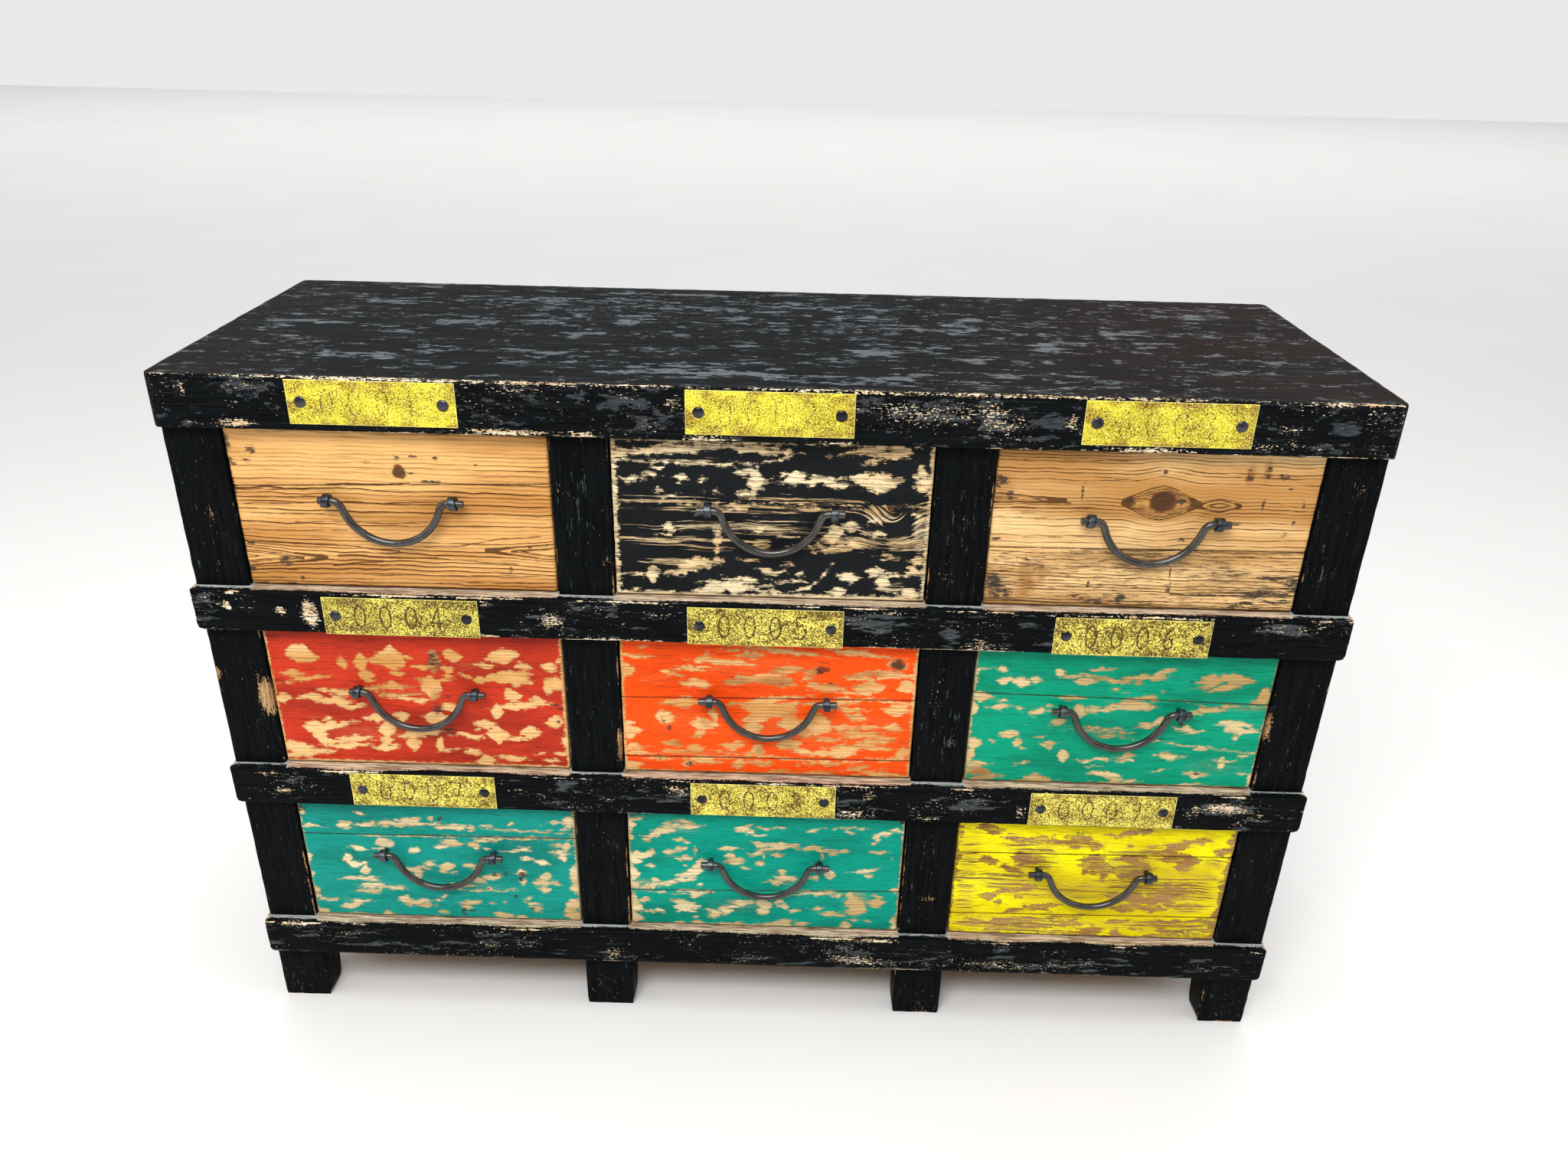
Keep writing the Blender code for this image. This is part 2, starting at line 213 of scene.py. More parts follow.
class Finish:
    """A material that grows by one node for each call."""

    def __init__(self, name, roughness=0.5, metallic=0.0, gleam=0.2):
        self.material = bpy.data.materials.new(name)
        self.material.use_nodes = True
        self.nodes = self.material.node_tree.nodes
        self.links = self.material.node_tree.links
        self.shader = self.nodes["Principled BSDF"]
        self.shader.inputs["Roughness"].default_value = roughness
        self.shader.inputs["Metallic"].default_value = metallic
        self.shader.inputs["Specular IOR Level"].default_value = gleam
        self.place = self.add("TexCoord", {}, "Object")

    def feed(self, socket, value):
        """Link a layer to a socket, or set a plain value; a text is a paint-card colour."""
        if isinstance(value, Layer):
            self.links.new(value.socket, socket)
        else:
            socket.default_value = colour(value) if isinstance(value, str) else value

    def add(self, kind, inputs, output=0, **settings):
        """Any node, with its inputs by name; what it gives out is the layer."""
        node = self.nodes.new("ShaderNode" + kind)
        for key, value in settings.items():
            setattr(node, key, value)
        for key, value in inputs.items():
            self.feed(node.inputs[key], value)
        return Layer(self, node.outputs[output])

    def math(self, operation, first, second=0.0, clamp=False):
        return self.add("Math", {0: first, 1: second}, operation=operation, use_clamp=clamp)

    def vector(self, operation, first, second):
        return self.add("VectorMath", {0: first, 1: second}, operation=operation)

    def parts(self, vector):
        """The three numbers of a vector, each as a layer."""
        first = self.add("SeparateXYZ", {0: vector})
        return [Layer(self, socket) for socket in first.socket.node.outputs]

    def attribute(self, name):
        return self.add("Attribute", {}, "Vector", attribute_name=name)

    def noise(self, stretch, detail=2.0, rough=0.5, seed=0.0, warp=0.0, place=None):
        """Noise with so many lumps a metre along each axis; nearly all of it lies between 0.3 and 0.7."""
        shift = (seed, 1.7 * seed, -seed)
        spread = self.add("Mapping", {"Vector": place or self.place, "Scale": stretch, "Location": shift})
        inputs = {"Vector": spread, "Scale": 1.0, "Detail": detail, "Roughness": rough, "Distortion": warp}
        return self.add("TexNoise", inputs)

    def grain(self, along, lengthwise, crosswise, detail=3.0, rough=0.55, seed=0.0):
        """Noise that is drawn out along one axis, as grain is."""
        stretch = [lengthwise * share + crosswise * (1 - share) for share in along]
        return self.noise(stretch, detail, rough, seed)

    def mix(self, share, first, second):
        return self.add("Mix", {0: share, 6: first, 7: second}, 2, data_type="RGBA")

    def bump(self, height, distance, strength=1.0):
        """Relief in metres, on top of the relief that is already there."""
        relief = self.add("Bump", {"Height": height, "Distance": distance, "Strength": strength}).socket
        normal = self.shader.inputs["Normal"]
        if normal.is_linked:
            self.links.new(normal.links[0].from_socket, relief.node.inputs["Normal"])
        self.links.new(relief, normal)

    def done(self, base, roughness=None):
        """Link the colour and the roughness, and hand over the material."""
        self.feed(self.shader.inputs["Base Color"], base)
        if roughness is not None:
            self.feed(self.shader.inputs["Roughness"], roughness)
        return self.material


floor_finish = Finish("pale_floor", 0.6)
floor_tone = floor_finish.noise((1.5, 1.5, 1.5), 4)
floor.data.materials.append(floor_finish.done(floor_finish.mix(floor_tone, "DEDDDB", "E5E4E2")))

# %% [markdown]
# ## Pine
#
# Sawn pine shows its year rings as lines: pale wood that darkens slowly and stops at a sharp brown
# line. A saw wave over a ring coordinate gives just that, and a random number for each ring makes some
# lines strong and others faint. On a drawer front the ring coordinate comes with the mesh, so that the
# lines can run round a knot; elsewhere it is the height.

# %% Pine colour from a ring coordinate
across_grain = (1, 0, 0)
upright_grain = (0, 0, 1)
inward_grain = (0, 1, 0)


def pine(finish, rings, period, tones, along=across_grain, seed=0.0, lines=1.0, wobble=2.6):
    """Colour and relief of pine. Rings and period are in millimetres; tones are light, middle and dark."""
    light, middle, dark = tones
    slow = finish.grain(along, 2.2, 45, 2, 0.5, seed)
    fibre = finish.grain(along, 20, 950, 3, 0.65, seed + 3)
    broad = finish.grain(along, 3, 22, 3, 0.5, seed + 7)
    dash = finish.grain(along, 34, 380, 2, 0.6, seed + 13)
    turn = rings / period + slow * wobble
    saw = finish.math("FRACT", turn)
    ring_number = finish.math("FLOOR", turn) + seed
    chance = finish.add("TexWhiteNoise", {"W": ring_number}, noise_dimensions="1D")
    # Late wood: a slow rise, a sharp stop, and its strength by ring, by region and by short dashes
    late = (saw.span(0.15, 0.9) ** 2.2 * 0.55).most(saw.span(0.7, 0.82)) * saw.span(1.0, 0.94)
    late = late * chance.span(0.1, 0.9, 0.25, 1.0)
    late = late * broad.span(0.34, 0.6, 0.5, 1.0) * dash.span(0.34, 0.5, 0.4, 1.0)
    body = finish.mix(broad.span(0.36, 0.66), light, middle)
    body = body.toward(middle, fibre.span(0.5, 0.66, 0.0, 0.55))
    body = body.toward(dark, fibre.span(0.62, 0.7, 0.0, 0.5))
    return body.toward(dark, finish.math("MULTIPLY", late, lines, True)), late, fibre


# %% [markdown]
# ## Black paint on the frame
#
# The frame is brushed black over pine, then rubbed: through to the wood along every arris, in clusters
# of small chips, and only dulled to grey where something dragged over it. Each piece carries its
# distance to its own arrises, so that one material finds the edges of all of them.

# %% Black frame finish
worn_through = (0.635, 0.65)
red_brown_sheen = "1D1311"
old_dirt = "5E4228"


def black_frame(name, along, seed=0.0, scuffs=0.0, gleam=0.02, edges=True, rough=0.42, patchy=0.35,
                flakes=(34, 210), scratches=0.0, bare_tones=("F6E8CA", "CFAE84"),
                haze="565B5D", panel_haze_and_sheen="767C80", whole=0.0, ribs=0.25):
    """Black paint with the grain along one axis, worn by the fields that the mesh carries.

    Scuffs, patchy and flakes set how many grey veils there are, how they gather and how fine they are;
    whole keeps small chips away, and ribs is the depth of the brushed grain.
    """
    finish = Finish(name, gleam=gleam)
    chips, ledge, smear = finish.parts(finish.attribute("wear"))
    warmth, panel, _ = finish.parts(finish.attribute("warmth"))
    streak = finish.grain(along, 20, 420, 3, 0.6, seed)
    hair = finish.grain(along, 60, 1500, 2, 0.5, seed + 2)
    stroke = finish.grain(along, 85, 950, 3, 0.65, seed + 4)
    speck = finish.grain(along, 300, 420, 3, 0.6, seed + 5)
    patch = finish.grain(along, 12, 30, 4, 0.6, seed + 6)
    broad = finish.grain(along, 3, 9, 2, 0.5, seed + 8)
    # Worn through: in clusters of chips, and along the arris as far as the patches reach
    grit = stroke * 0.5 + speck * 0.5
    bare = (grit - whole + chips * 0.13 + patch.sway(patchy)).span(*worn_through)
    if edges:
        nearest = finish.vector("MINIMUM", finish.attribute("from_low"), finish.attribute("from_high"))
        x, y, z = finish.parts(nearest)
        to_arris = x.least(y).most(x.most(y).least(z))
        reach = patch.span(0.46, 0.66, -0.5, 1.7) - to_arris * 1000.0 + grit.sway(9.0)
        bare = bare.most(reach.span(0.0, 0.3))
    # Only dulled: grey veils made of fine lines
    veil = finish.grain(along, *flakes, 6, 0.72, seed + 11) + smear * 0.15
    veil = (veil + (patch.sway(patchy) + scuffs)).span(*worn_through) * hair.span(0.4, 0.58, 0.25, 1.0)
    scratch = finish.grain(along, 6, 900, 3, 0.6, seed + 12).span(0.58, 0.66)
    scratch = scratch * patch.span(0.4, 0.6, 0.2 * scratches, scratches)
    black = finish.mix(streak.span(0.36, 0.66), "080A0B", "101315")
    black = black.toward(red_brown_sheen, warmth * broad.span(0.3, 0.6))
    # On the top's upper panel the grey veils take a lighter grey: real scuffs, and partly a painted sheen for
    # the reflection on that face
    painted = black.toward(finish.mix(panel, haze, panel_haze_and_sheen), (veil * 0.8).most(scratch))
    wood = finish.mix(streak.span(0.36, 0.64), *bare_tones).toward(old_dirt, hair.span(0.54, 0.68, 0.0, 0.6))
    base = painted.toward(wood, bare)
    # The rail's upper side: bare where the drawers slide, greyer in front of the posts
    at_drawer = ledge.span(0.55, 0.9)
    behind = finish.parts(finish.attribute("from_low"))[1] * 1000.0
    behind = behind + (grit.sway(20.0) + patch.sway(14.0)) + ledge.span(0.55, 0.9, -4.0, 0.0)
    sill = finish.mix(streak.span(0.4, 0.62), "D6C2A6", "8C725C")
    sill = finish.mix(at_drawer, "A6AAA8", sill).toward("2A2522", hair.span(0.5, 0.64, 0.0, 0.75))
    base = base.toward(sill, ledge.span(0.1, 0.4) * behind.span(5.0, 6.4))
    finish.bump(streak, 0.0003, ribs)
    finish.bump(-bare, 0.0003, 0.6)
    return finish.done(base, bare.span(0.0, 1.0, rough, 0.7))


# %% [markdown]
# ## Paint on a drawer front
#
# The painted fronts were sanded until rounded islands of pine came through, each with an edge that
# follows the fibres. The mesh says in millimetres how far a point lies inside such an island; stretched
# noise moves the edge, and whatever is above zero is wood.

# %% Drawer front finish
def drawer_front(name, tones, period, paint=None, deep=None, seed=0.0, ragged=1.0, spread=0.0, rough=0.45,
                 weather=0.0, murk=0.3, strands=0.22, remains=0.35, shade="2A1A10"):
    """Pine, and two shades of worn paint if they are given.

    Ragged and spread say how torn the islands are and how many millimetres wider; weather greys the
    lower board; murk and strands are the thin and the missing paint in streaky zones, remains the paint
    that is left inside an island, and shade the colour of the cracks in the paint.
    """
    finish = Finish(name, gleam=0.1)
    wear, rings, seam = finish.parts(finish.attribute("wear"))
    knot, stain, streaky = finish.parts(finish.attribute("marks"))
    drawn, rust, speckled = finish.parts(finish.attribute("strokes"))
    lines = 0.7 if paint else seam.span(-1.0, 1.0, 1.3, 2.0)
    wobble = 2.6 if paint else 1.4
    wood, late, fibre = pine(finish, rings, period, tones, seed=seed, lines=lines, wobble=wobble)
    ash = finish.noise((60, 60, 620), 4, 0.7, seed + 40)
    lump = finish.noise((100, 100, 200), 5, 0.7, seed + 5)
    wood = wood.toward("96602E", rust * ash.span(0.3, 0.5, 0.3, 0.8))
    wood = wood.toward("4A2C14", (drawn + ash.sway(3.0)).span(0.5, -0.3, 0.0, 0.9))
    if weather:
        cloud = finish.noise((11, 11, 30), 5, 0.65, seed + 41)
        below = seam.span(-1.0, 1.0, 0.0, weather)
        wood = wood.toward("8A6C44", below * cloud.span(0.4, 0.64, 0.0, 0.5))
        wood = wood.toward("4C3C2A", below * (ash + cloud.sway(0.25)).span(0.52, 0.6))
    heart = finish.mix(knot.span(0.4, 0.75) * ash.span(0.36, 0.56, 0.6, 1.0), "6E3C22", "34201A")
    wood = wood.toward(heart, (knot + lump.sway(1.6)).span(0.3, 0.55, 0.0, 0.92))
    base = wood
    if paint:
        # Noise that flows with the rings, so that torn edges bend round knots too
        x, y, _ = finish.parts(finish.place)
        flow = finish.add("CombineXYZ", {0: x, 1: y, 2: rings * -0.001})
        strand = finish.noise((34, 800, 800), 3, 0.6, seed + 9, place=flow)
        tooth = finish.noise((110, 1500, 1500), 2, 0.5, seed + 10, place=flow)
        long_strand = finish.noise((8, 330, 330), 4, 0.6, seed + 31, place=flow)
        edge = wear + spread + strand.sway(6.0 * ragged) + (lump.sway(15.0 * ragged) + tooth.sway(3.0))
        bare = edge.span(-0.12, 0.2).most((long_strand + streaky * strands).span(0.705, 0.73))
        left_over = finish.noise((45, 45, 760), 4, 0.65, seed + 33, place=flow)
        left_over = left_over + edge.span(6.0, 0.0, -0.02, 0.03)
        bare = bare * (1.0 - left_over.span(0.545, 0.575) * remains)
        tone = finish.noise((5, 5, 16), 4, 0.6, seed + 12)
        crevice = finish.noise((30, 30, 850), 4, 0.7, seed + 35, place=flow)
        coat = finish.mix(tone.span(0.42, 0.7, 0.0, 0.6), paint, deep)
        coat = coat.toward(deep, strand.span(0.54, 0.68, 0.0, 0.7)).toward(deep, late * 0.2)
        coat = coat.toward(shade, crevice.span(0.585, 0.64, 0.0, 0.6))
        thin = streaky * ash.span(0.4, 0.6, 0.0, murk)
        coat = coat.toward(wood, thin.most(edge.span(-1.2, -0.1, 0.0, 0.25)))
        # Just inside each island's edge the wood is taken towards the dark tone: a painted shadow of the step
        # in the paint
        base = coat.toward(wood, bare).toward(tones[2], bare * edge.span(1.6, 0.1, 0.0, 0.35))
        finish.bump(-bare, 0.00035, 0.8)
    soot = finish.noise((140, 140, 300), 5, 0.72, seed + 15) + ash.sway(0.5) + stain * 0.14
    base = base.toward("3A322C", finish.math("MULTIPLY", stain, 2.0, True) * soot.span(0.54, 0.62, 0.0, 0.9))
    base = base.toward("3A3630", speckled * (ash + speckled * 0.12).span(0.6, 0.64))
    crack = finish.math("ABSOLUTE", seam).span(1.4, 0.4) * lump.span(0.3, 0.5, 0.5, 1.0)
    base = base.toward("2A1C12", crack * 0.85)
    finish.bump(-late, 0.0004, 0.45)
    finish.bump(fibre, 0.0003, 0.35)
    return finish.done(base, fibre.span(0.3, 0.7, rough - 0.05, rough + 0.12))


# %% [markdown]
# ## Shaping helpers
#
# Pieces are shaped with the same operators as by hand. Each operator acts on what is selected, so one
# helper selects by a test of place, and another reads and writes all the points of a mesh at once.

# %% Mesh helpers
def to_object_mode():
    if bpy.context.object and bpy.context.object.mode != "OBJECT":
        bpy.ops.object.mode_set(mode="OBJECT")


def use_only(piece):
    """Make a piece the only selected one."""
    to_object_mode()
    bpy.ops.object.select_all(action="DESELECT")
    piece.select_set(True)
    bpy.context.view_layer.objects.active = piece


def edit_all(piece):
    """Go to edit mode, with all of a piece selected."""
    use_only(piece)
    bpy.ops.object.mode_set(mode="EDIT")
    bpy.ops.mesh.select_all(action="SELECT")


def choose(piece, kind, test):
    """In edit mode, select only the corners, edges or faces that pass the test."""
    bpy.context.view_layer.objects.active = piece
    bpy.ops.object.mode_set(mode="EDIT")
    bpy.ops.mesh.select_mode(type=kind)
    bpy.ops.mesh.select_all(action="DESELECT")
    shape = bmesh.from_edit_mesh(piece.data)
    for item in {"VERT": shape.verts, "EDGE": shape.edges, "FACE": shape.faces}[kind]:
        if test(item):
            item.select_set(True)
    shape.select_flush_mode()
    bmesh.update_edit_mesh(piece.data)


def points_of(piece):
    """All the points of a mesh, one row each."""
    flat = np.empty(len(piece.data.vertices) * 3)
    piece.data.vertices.foreach_get("co", flat)
    return flat.reshape(-1, 3)


def move_points(piece, points):
    piece.data.vertices.foreach_set("co", np.ascontiguousarray(points).ravel())
    piece.data.update()


def own_copy(piece):
    """A copy of a piece, with its own mesh."""
    copy = piece.copy()
    copy.data = piece.data.copy()
    scene.collection.objects.link(copy)
    return copy


def apply_modifier(piece, kind, **settings):
    """Give a piece a modifier with these settings, and apply it."""
    modifier = piece.modifiers.new("step", kind)
    for key, value in settings.items():
        setattr(modifier, key, value)
    use_only(piece)
    bpy.ops.object.modifier_apply(modifier="step")


def add_field(piece, name, *columns):
    """Three numbers for each point, for a material to read."""
    layer = piece.data.attributes.new(name, "FLOAT_VECTOR", "POINT")
    layer.data.foreach_set("vector", np.stack(columns, 1).astype(float).ravel())


def dress(piece, name, material, body, slot, *nodes):
    """Name a finished piece, give it its finish and let it ride on its body."""
    piece.name = name
    piece.data.name = name
    piece.data.materials.clear()
    piece.data.materials.append(material)
    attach(piece, body)
    if nodes:
        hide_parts(*nodes)


# %% [markdown]
# ## Where wear is put by hand
#
# Worn islands are written as ellipses: place across, place down, half width, half height, in percent of
# the front. A fifth number makes it a streaky zone instead, where the paint stays but long fibres show:
# the higher the number, the fewer of them. A list of such ellipses becomes one field over the mesh; they
# are slanted, pointed at their ends and bent by noise, so that they look torn and not stamped.

# %% Fields from lists of ellipses
far_outside = -30.0
# Without a seed the smooth noise would lie differently in each run
noise.seed_set(7)


def numbers(text):
    """Groups of numbers, one group between commas."""
    return [[float(number) for number in group.split()] for group in text.split(",") if group.strip()]


def torn(across, down, reach, size, seed):
    """The same places, each shifted a little by smooth noise."""
    places = [(x / size, y / size, seed) for x, y in zip(across, down)]
    shifts = np.array([noise.turbulence_vector(place, 3, False) for place in places])
    return across + reach * shifts[:, 0], down + reach * shifts[:, 1]


def island_field(across, down, islands, width, height):
    """Millimetres inside the nearest island: slanted, pointed shapes, in shares of the width and height."""
    field = np.full(across.shape, far_outside)
    for number, island in enumerate(islands):
        x, y, half_x, half_y = (value * size for value, size in zip(island[:4], (width, height) * 2))
        slant = ((number * 7) % 11 - 4) * 0.03
        aside = np.abs((across - x) / half_x) ** 1.35
        above = np.abs((down - y + slant * (across - x)) / half_y) ** 1.35
        field = np.maximum(field, (1.1 - (aside + above) ** 0.74) * min(half_x, half_y))
    return field


def soft_spots(across, down, marks):
    """The strength of each mark in its middle, 1 if none is given, fading to 0 just outside it."""
    field = np.zeros(across.shape)
    for x, y, half_x, half_y, *strength in marks:
        reach = np.hypot((across - x) / half_x, (down - y) / half_y)
        field = np.maximum(field, np.clip(1.6 - 1.3 * reach, 0, 1) * (strength[0] if strength else 1.0))
    return field


def line_distance(across, down, line):
    """Distance from a straight line between two points."""
    x0, y0, x1, y1 = line
    length = (x1 - x0) ** 2 + (y1 - y0) ** 2
    share = np.clip(((across - x0) * (x1 - x0) + (down - y0) * (y1 - y0)) / length, 0, 1)
    return np.hypot(across - x0 - share * (x1 - x0), down - y0 - share * (y1 - y0))


# %% [markdown]
# ## The black frame
#
# Posts and rails keep the exact shape of their solids, notches and all. A copy of a solid has its loose
# triangles joined and its flat parts dissolved, and is then cut into narrow slices, which gives it
# enough points for the wear to be a real change of shape: a displace modifier eats into the arrises.

# %% Worn copies of the frame's solids
merge_distance = 0.00001
front_layer = 0.004
arris_reach = 0.006
dark_bare_tones = ("BE9A6E", "86623E")
frame_x = black_frame("black_paint_across", across_grain, scuffs=0.025, flakes=(26, 150), whole=0.012)
frame_z = black_frame("black_paint_upright", upright_grain, seed=20.0, patchy=0.1,
                      bare_tones=dark_bare_tones, whole=0.02, ribs=0.08)

erosion = bpy.data.textures.new("erosion", "CLOUDS")
erosion.noise_scale = 0.018
erosion.noise_depth = 3


def copy_solid(node):
    """A copy of a solid's mesh, with its triangles joined and its flat faces whole."""
    piece = bpy.data.objects.new(node + "_copy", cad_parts[node].data.copy())
    scene.collection.objects.link(piece)
    edit_all(piece)
    bpy.ops.mesh.remove_doubles(threshold=merge_distance)
    bpy.ops.mesh.dissolve_limited(angle_limit=radians(0.5))
    bpy.ops.object.mode_set(mode="OBJECT")
    return piece


def slice_up(piece, steps):
    """Cut a piece by planes across each axis, as far apart as the steps say."""
    points = points_of(piece)
    low, high = points.min(0), points.max(0)
    edit_all(piece)
    for axis, step in enumerate(steps):
        count = int((high[axis] - low[axis]) / step)
        normal = [float(axis == other) for other in range(3)]
        for cut in range(1, count):
            place = [0.0, 0.0, 0.0]
            place[axis] = low[axis] + (high[axis] - low[axis]) * cut / count
            bpy.ops.mesh.select_all(action="SELECT")
            bpy.ops.mesh.bisect(plane_co=place, plane_no=normal)
    bpy.ops.object.mode_set(mode="OBJECT")


def erode(piece, to_arris, reach, depth, middle):
    """Let the erosion texture eat a piece, most at the arris and not at all beyond the reach."""
    group = piece.vertex_groups.new(name="arris")
    for index in np.nonzero(to_arris < reach)[0]:
        group.add([int(index)], float(1 - to_arris[index] / reach), "REPLACE")
    apply_modifier(piece, "DISPLACE", texture=erosion, texture_coords="LOCAL", strength=-depth,
                   mid_level=middle, vertex_group="arris")


def wear_edges(piece, depth):
    """Write the distances to the piece's own box, and let its arrises be eaten."""
    points = points_of(piece)
    low, high = points.min(0), points.max(0)
    from_low, from_high = points - low, high - points
    add_field(piece, "from_low", *from_low.T)
    add_field(piece, "from_high", *from_high.T)
    to_arris = np.sort(np.minimum(from_low, from_high), axis=1)[:, 1]
    erode(piece, to_arris, arris_reach, depth, 0.35)
    move_points(piece, np.clip(points_of(piece), low, high))
    bpy.ops.object.shade_smooth_by_angle(angle=radians(35))


def side_marks(points, axes, text, length=100.0):
    """Soft marks over one side: across from 0 to the length, down from 0 at the high end to 100."""
    low, high = points.min(0), points.max(0)
    across = (points[:, axes[0]] - low[axes[0]]) / (high[axes[0]] - low[axes[0]]) * length
    down = (high[axes[1]] - points[:, axes[1]]) / (high[axes[1]] - low[axes[1]]) * 100
    return soft_spots(across, down, numbers(text))


post_names = ("post_left", "post_inner_left", "post_inner_right", "post_right")
post_sides = [[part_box(node)[end].x for end in (0, 1)] for node in post_names]


def frame_wear(piece, chips, smears, length=100.0, sill=False, dull=0.0):
    """Fields of the black finish: chips and smears on the front, and the bare upper side of a rail."""
    points = points_of(piece)
    front = points[:, 1] < points[:, 1].min() + front_layer
    fields = [np.where(front, side_marks(points, (0, 2), marks, length), 0) for marks in (chips, smears)]
    ledge = np.zeros(len(points))
    if sill:
        x = points[:, 0]
        at_post = np.any([(x > start - 0.001) & (x < end + 0.001) for start, end in post_sides], axis=0)
        upper_side = np.clip((points[:, 2] - points[:, 2].max() + 0.0016) / 0.0012, 0, 1)
        ledge = upper_side * np.where(at_post, 0.5, 1.0)
    add_field(piece, "wear", fields[0], ledge, fields[1] + dull)


# %% Where the rails and posts are worn
rail_marks = {
    "rail_upper": (
        "10.5 4 1.5 4 2, 9 37 1 12 2, 23 47 2 12 1.8, 30.5 47 2.5 45 1.7, 15 50 3 30 .5, 76 17 1 12,"
        "77 96 3 4 2, 94 55 3.5 15 .9, 183 10 4 5, 113 97 14 3.5 1.4, 204 78 4 22 .6, 248 4 27 4 1.3,"
        "281 25 9 15 .6",
        "109 32 2 18, 179 32 9 22, 197 62 3 28, 217 25 3 17, 281 25 9 15, 60 60 12 20 .6, 4 40 4 40 .7",
    ),
    "rail_lower": (
        "11 13 8 8, 14.5 60 2.5 10, 24 86 4 4, 31 5 1.5 5, 76 17 2 12, 79 40 3 5, 106 58 4 3 1.6,"
        "125 27 4 18 .9, 179 28 2 22, 191 7 9 2.5 1.4, 176 82 6 12 .9, 196 91 4 3, 221 62 1.5 28,"
        "269 45 3 30 .9, 277 35 6 15 1.2, 288 50 1.5 10, 297 85 1.5 10",
        "93 25 2.5 10, 174 50 5 12, 205 48 5 12, 277 35 8 20, 130 50 20 20 .5",
    ),
    "rail_base": (
        "9 5 6 5 1.3, 29 30 9 10 .6, 62 15 12 10 .6, 67 55 5 25 .5, 127 32 5 27 .6, 150 18 12 7 .7,"
        "104 67 3 17 .8, 175 72 15 17 .7, 184 3 7 3 1.8, 237 22 8 12 .7, 205 82 3 3, 222 75 22 20 .5,"
        "297 5 2 3 1.4, 150 60 150 40 .05, 90 94 90 6 .3, 240 96 60 5 .3",
        "60 50 70 50 .2, 175 60 50 45 .25, 237 50 40 50 .2",
    ),
}
post_marks = {
    "post_left": (
        "60 16 12 1 .7, 50 23 16 1.2 .5, 92 43.5 20 3.5 2, 4 40 10 1.2 2, 50 97 60 4 .35",
        "50 30 40 4 .15",
    ),
    "post_inner_left": (
        "8 11 12 1 .8, 92 21 12 1 .8, 97 50 8 3.5 1.8, 60 67 25 3 .4, 50 97 60 4 .35",
        "50 14 40 7 .3, 50 67 30 4 .3, 50 40 30 5 .1",
    ),
    "post_inner_right": (
        "50 15 25 4 .45, 40 40 22 6 .45, 30 22 16 1 .7, 70 48 20 1 .7, 55 76.5 20 .8, 50 67 20 5 .4,"
        "50 97 60 4 .35",
        "50 15 40 4 .3, 50 45 45 6 .35, 50 67 30 6 .25",
    ),
    "post_right": (
        "60 8.5 25 1.5 .5, 2 44 8 3 1.8, 60 60 10 1 .5, 50 97 60 4 .35",
        "50 19.5 45 3.5 .3, 50 45 30 6 .1",
    ),
}

# %% Wear the posts and rails
three_fronts = 300.0
post_steps = (0.008, 0.012, 0.006)
post_wear = 0.0014
foot_round = 0.010
rail_steps = (0.006, 0.0028, 0.005)
rail_wear = 0.0016
dull_base_rail = 0.1


def both_ends(edge, test):
    """True if both ends of an edge pass a test of place."""
    return all(test(corner.co) for corner in edge.verts)


def extent(edge, axis):
    """How far an edge reaches along one axis."""
    return abs(edge.verts[0].co[axis] - edge.verts[1].co[axis])


def ease_edges(piece, offset, segments, test):
    """Bevel the edges of a piece that pass the test."""
    choose(piece, "EDGE", test)
    bpy.ops.mesh.bevel(offset=offset, segments=segments)


def wear_member(piece, node, steps, depth, material, *marks, **ways):
    """Slice a post or a rail, let its arrises be eaten, and dress it."""
    slice_up(piece, steps)
    wear_edges(piece, depth)
    frame_wear(piece, *marks, **ways)
    dress(piece, node + "_worn", material, "carcass", "black_paint", node)
    print(node, "has", len(piece.data.polygons), "faces")


def is_foot_edge(edge):
    """True for the edges that run along a foot's two sides, on the floor."""
    return both_ends(edge, lambda co: co.z < 0.001) and extent(edge, 0) < 0.001


for node, marks in post_marks.items():
    post = copy_solid(node)
    ease_edges(post, foot_round, 4, is_foot_edge)
    bpy.ops.object.mode_set(mode="OBJECT")
    wear_member(post, node, post_steps, post_wear, frame_z, *marks)
for node, marks in rail_marks.items():
    dull = dull_base_rail if node == "rail_base" else 0.0
    wear_member(copy_solid(node), node, rail_steps, rail_wear, frame_x, *marks,
                length=three_fronts, sill=True, dull=dull)

# %% [markdown]
# ## The top
#
# The top is one thick slab to look at, with an edge twice as deep at the front. It starts as a cube of
# the panel's size; its underside is cut along the front strip and round the drawer openings, and those
# faces are pulled down to make the lip. Its corners are eased first and its edges after.

# %% Model the top
panel_low, panel_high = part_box("top_panel")
lip_low, lip_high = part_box("top_front_lip")
post_lap_back = -0.2013
corner_round = 0.011
lip_corner_round = 0.008
arris_round = 0.0022
top_steps = (0.006, 0.012, 0.005)
top_wear = 0.0018
touching = 0.0001
opening_edges = [(before[1], after[0]) for before, after in zip(post_sides, post_sides[1:])]

middle = (panel_low + panel_high) / 2
size = panel_high - panel_low
end_x = middle.x + size.x / 2
bpy.ops.mesh.primitive_cube_add(size=1, location=middle, scale=size)
top = bpy.context.object
bpy.ops.object.transform_apply(location=True, rotation=True, scale=True)
bpy.ops.object.mode_set(mode="EDIT")
cuts = [((0, post_lap_back, 0), (0, 1, 0)), ((0, lip_high.y, 0), (0, 1, 0))]
cuts += [((x, 0, 0), (1, 0, 0)) for pair in opening_edges for x in pair]
for place, normal in cuts:
    bpy.ops.mesh.select_all(action="SELECT")
    bpy.ops.mesh.bisect(plane_co=place, plane_no=normal)


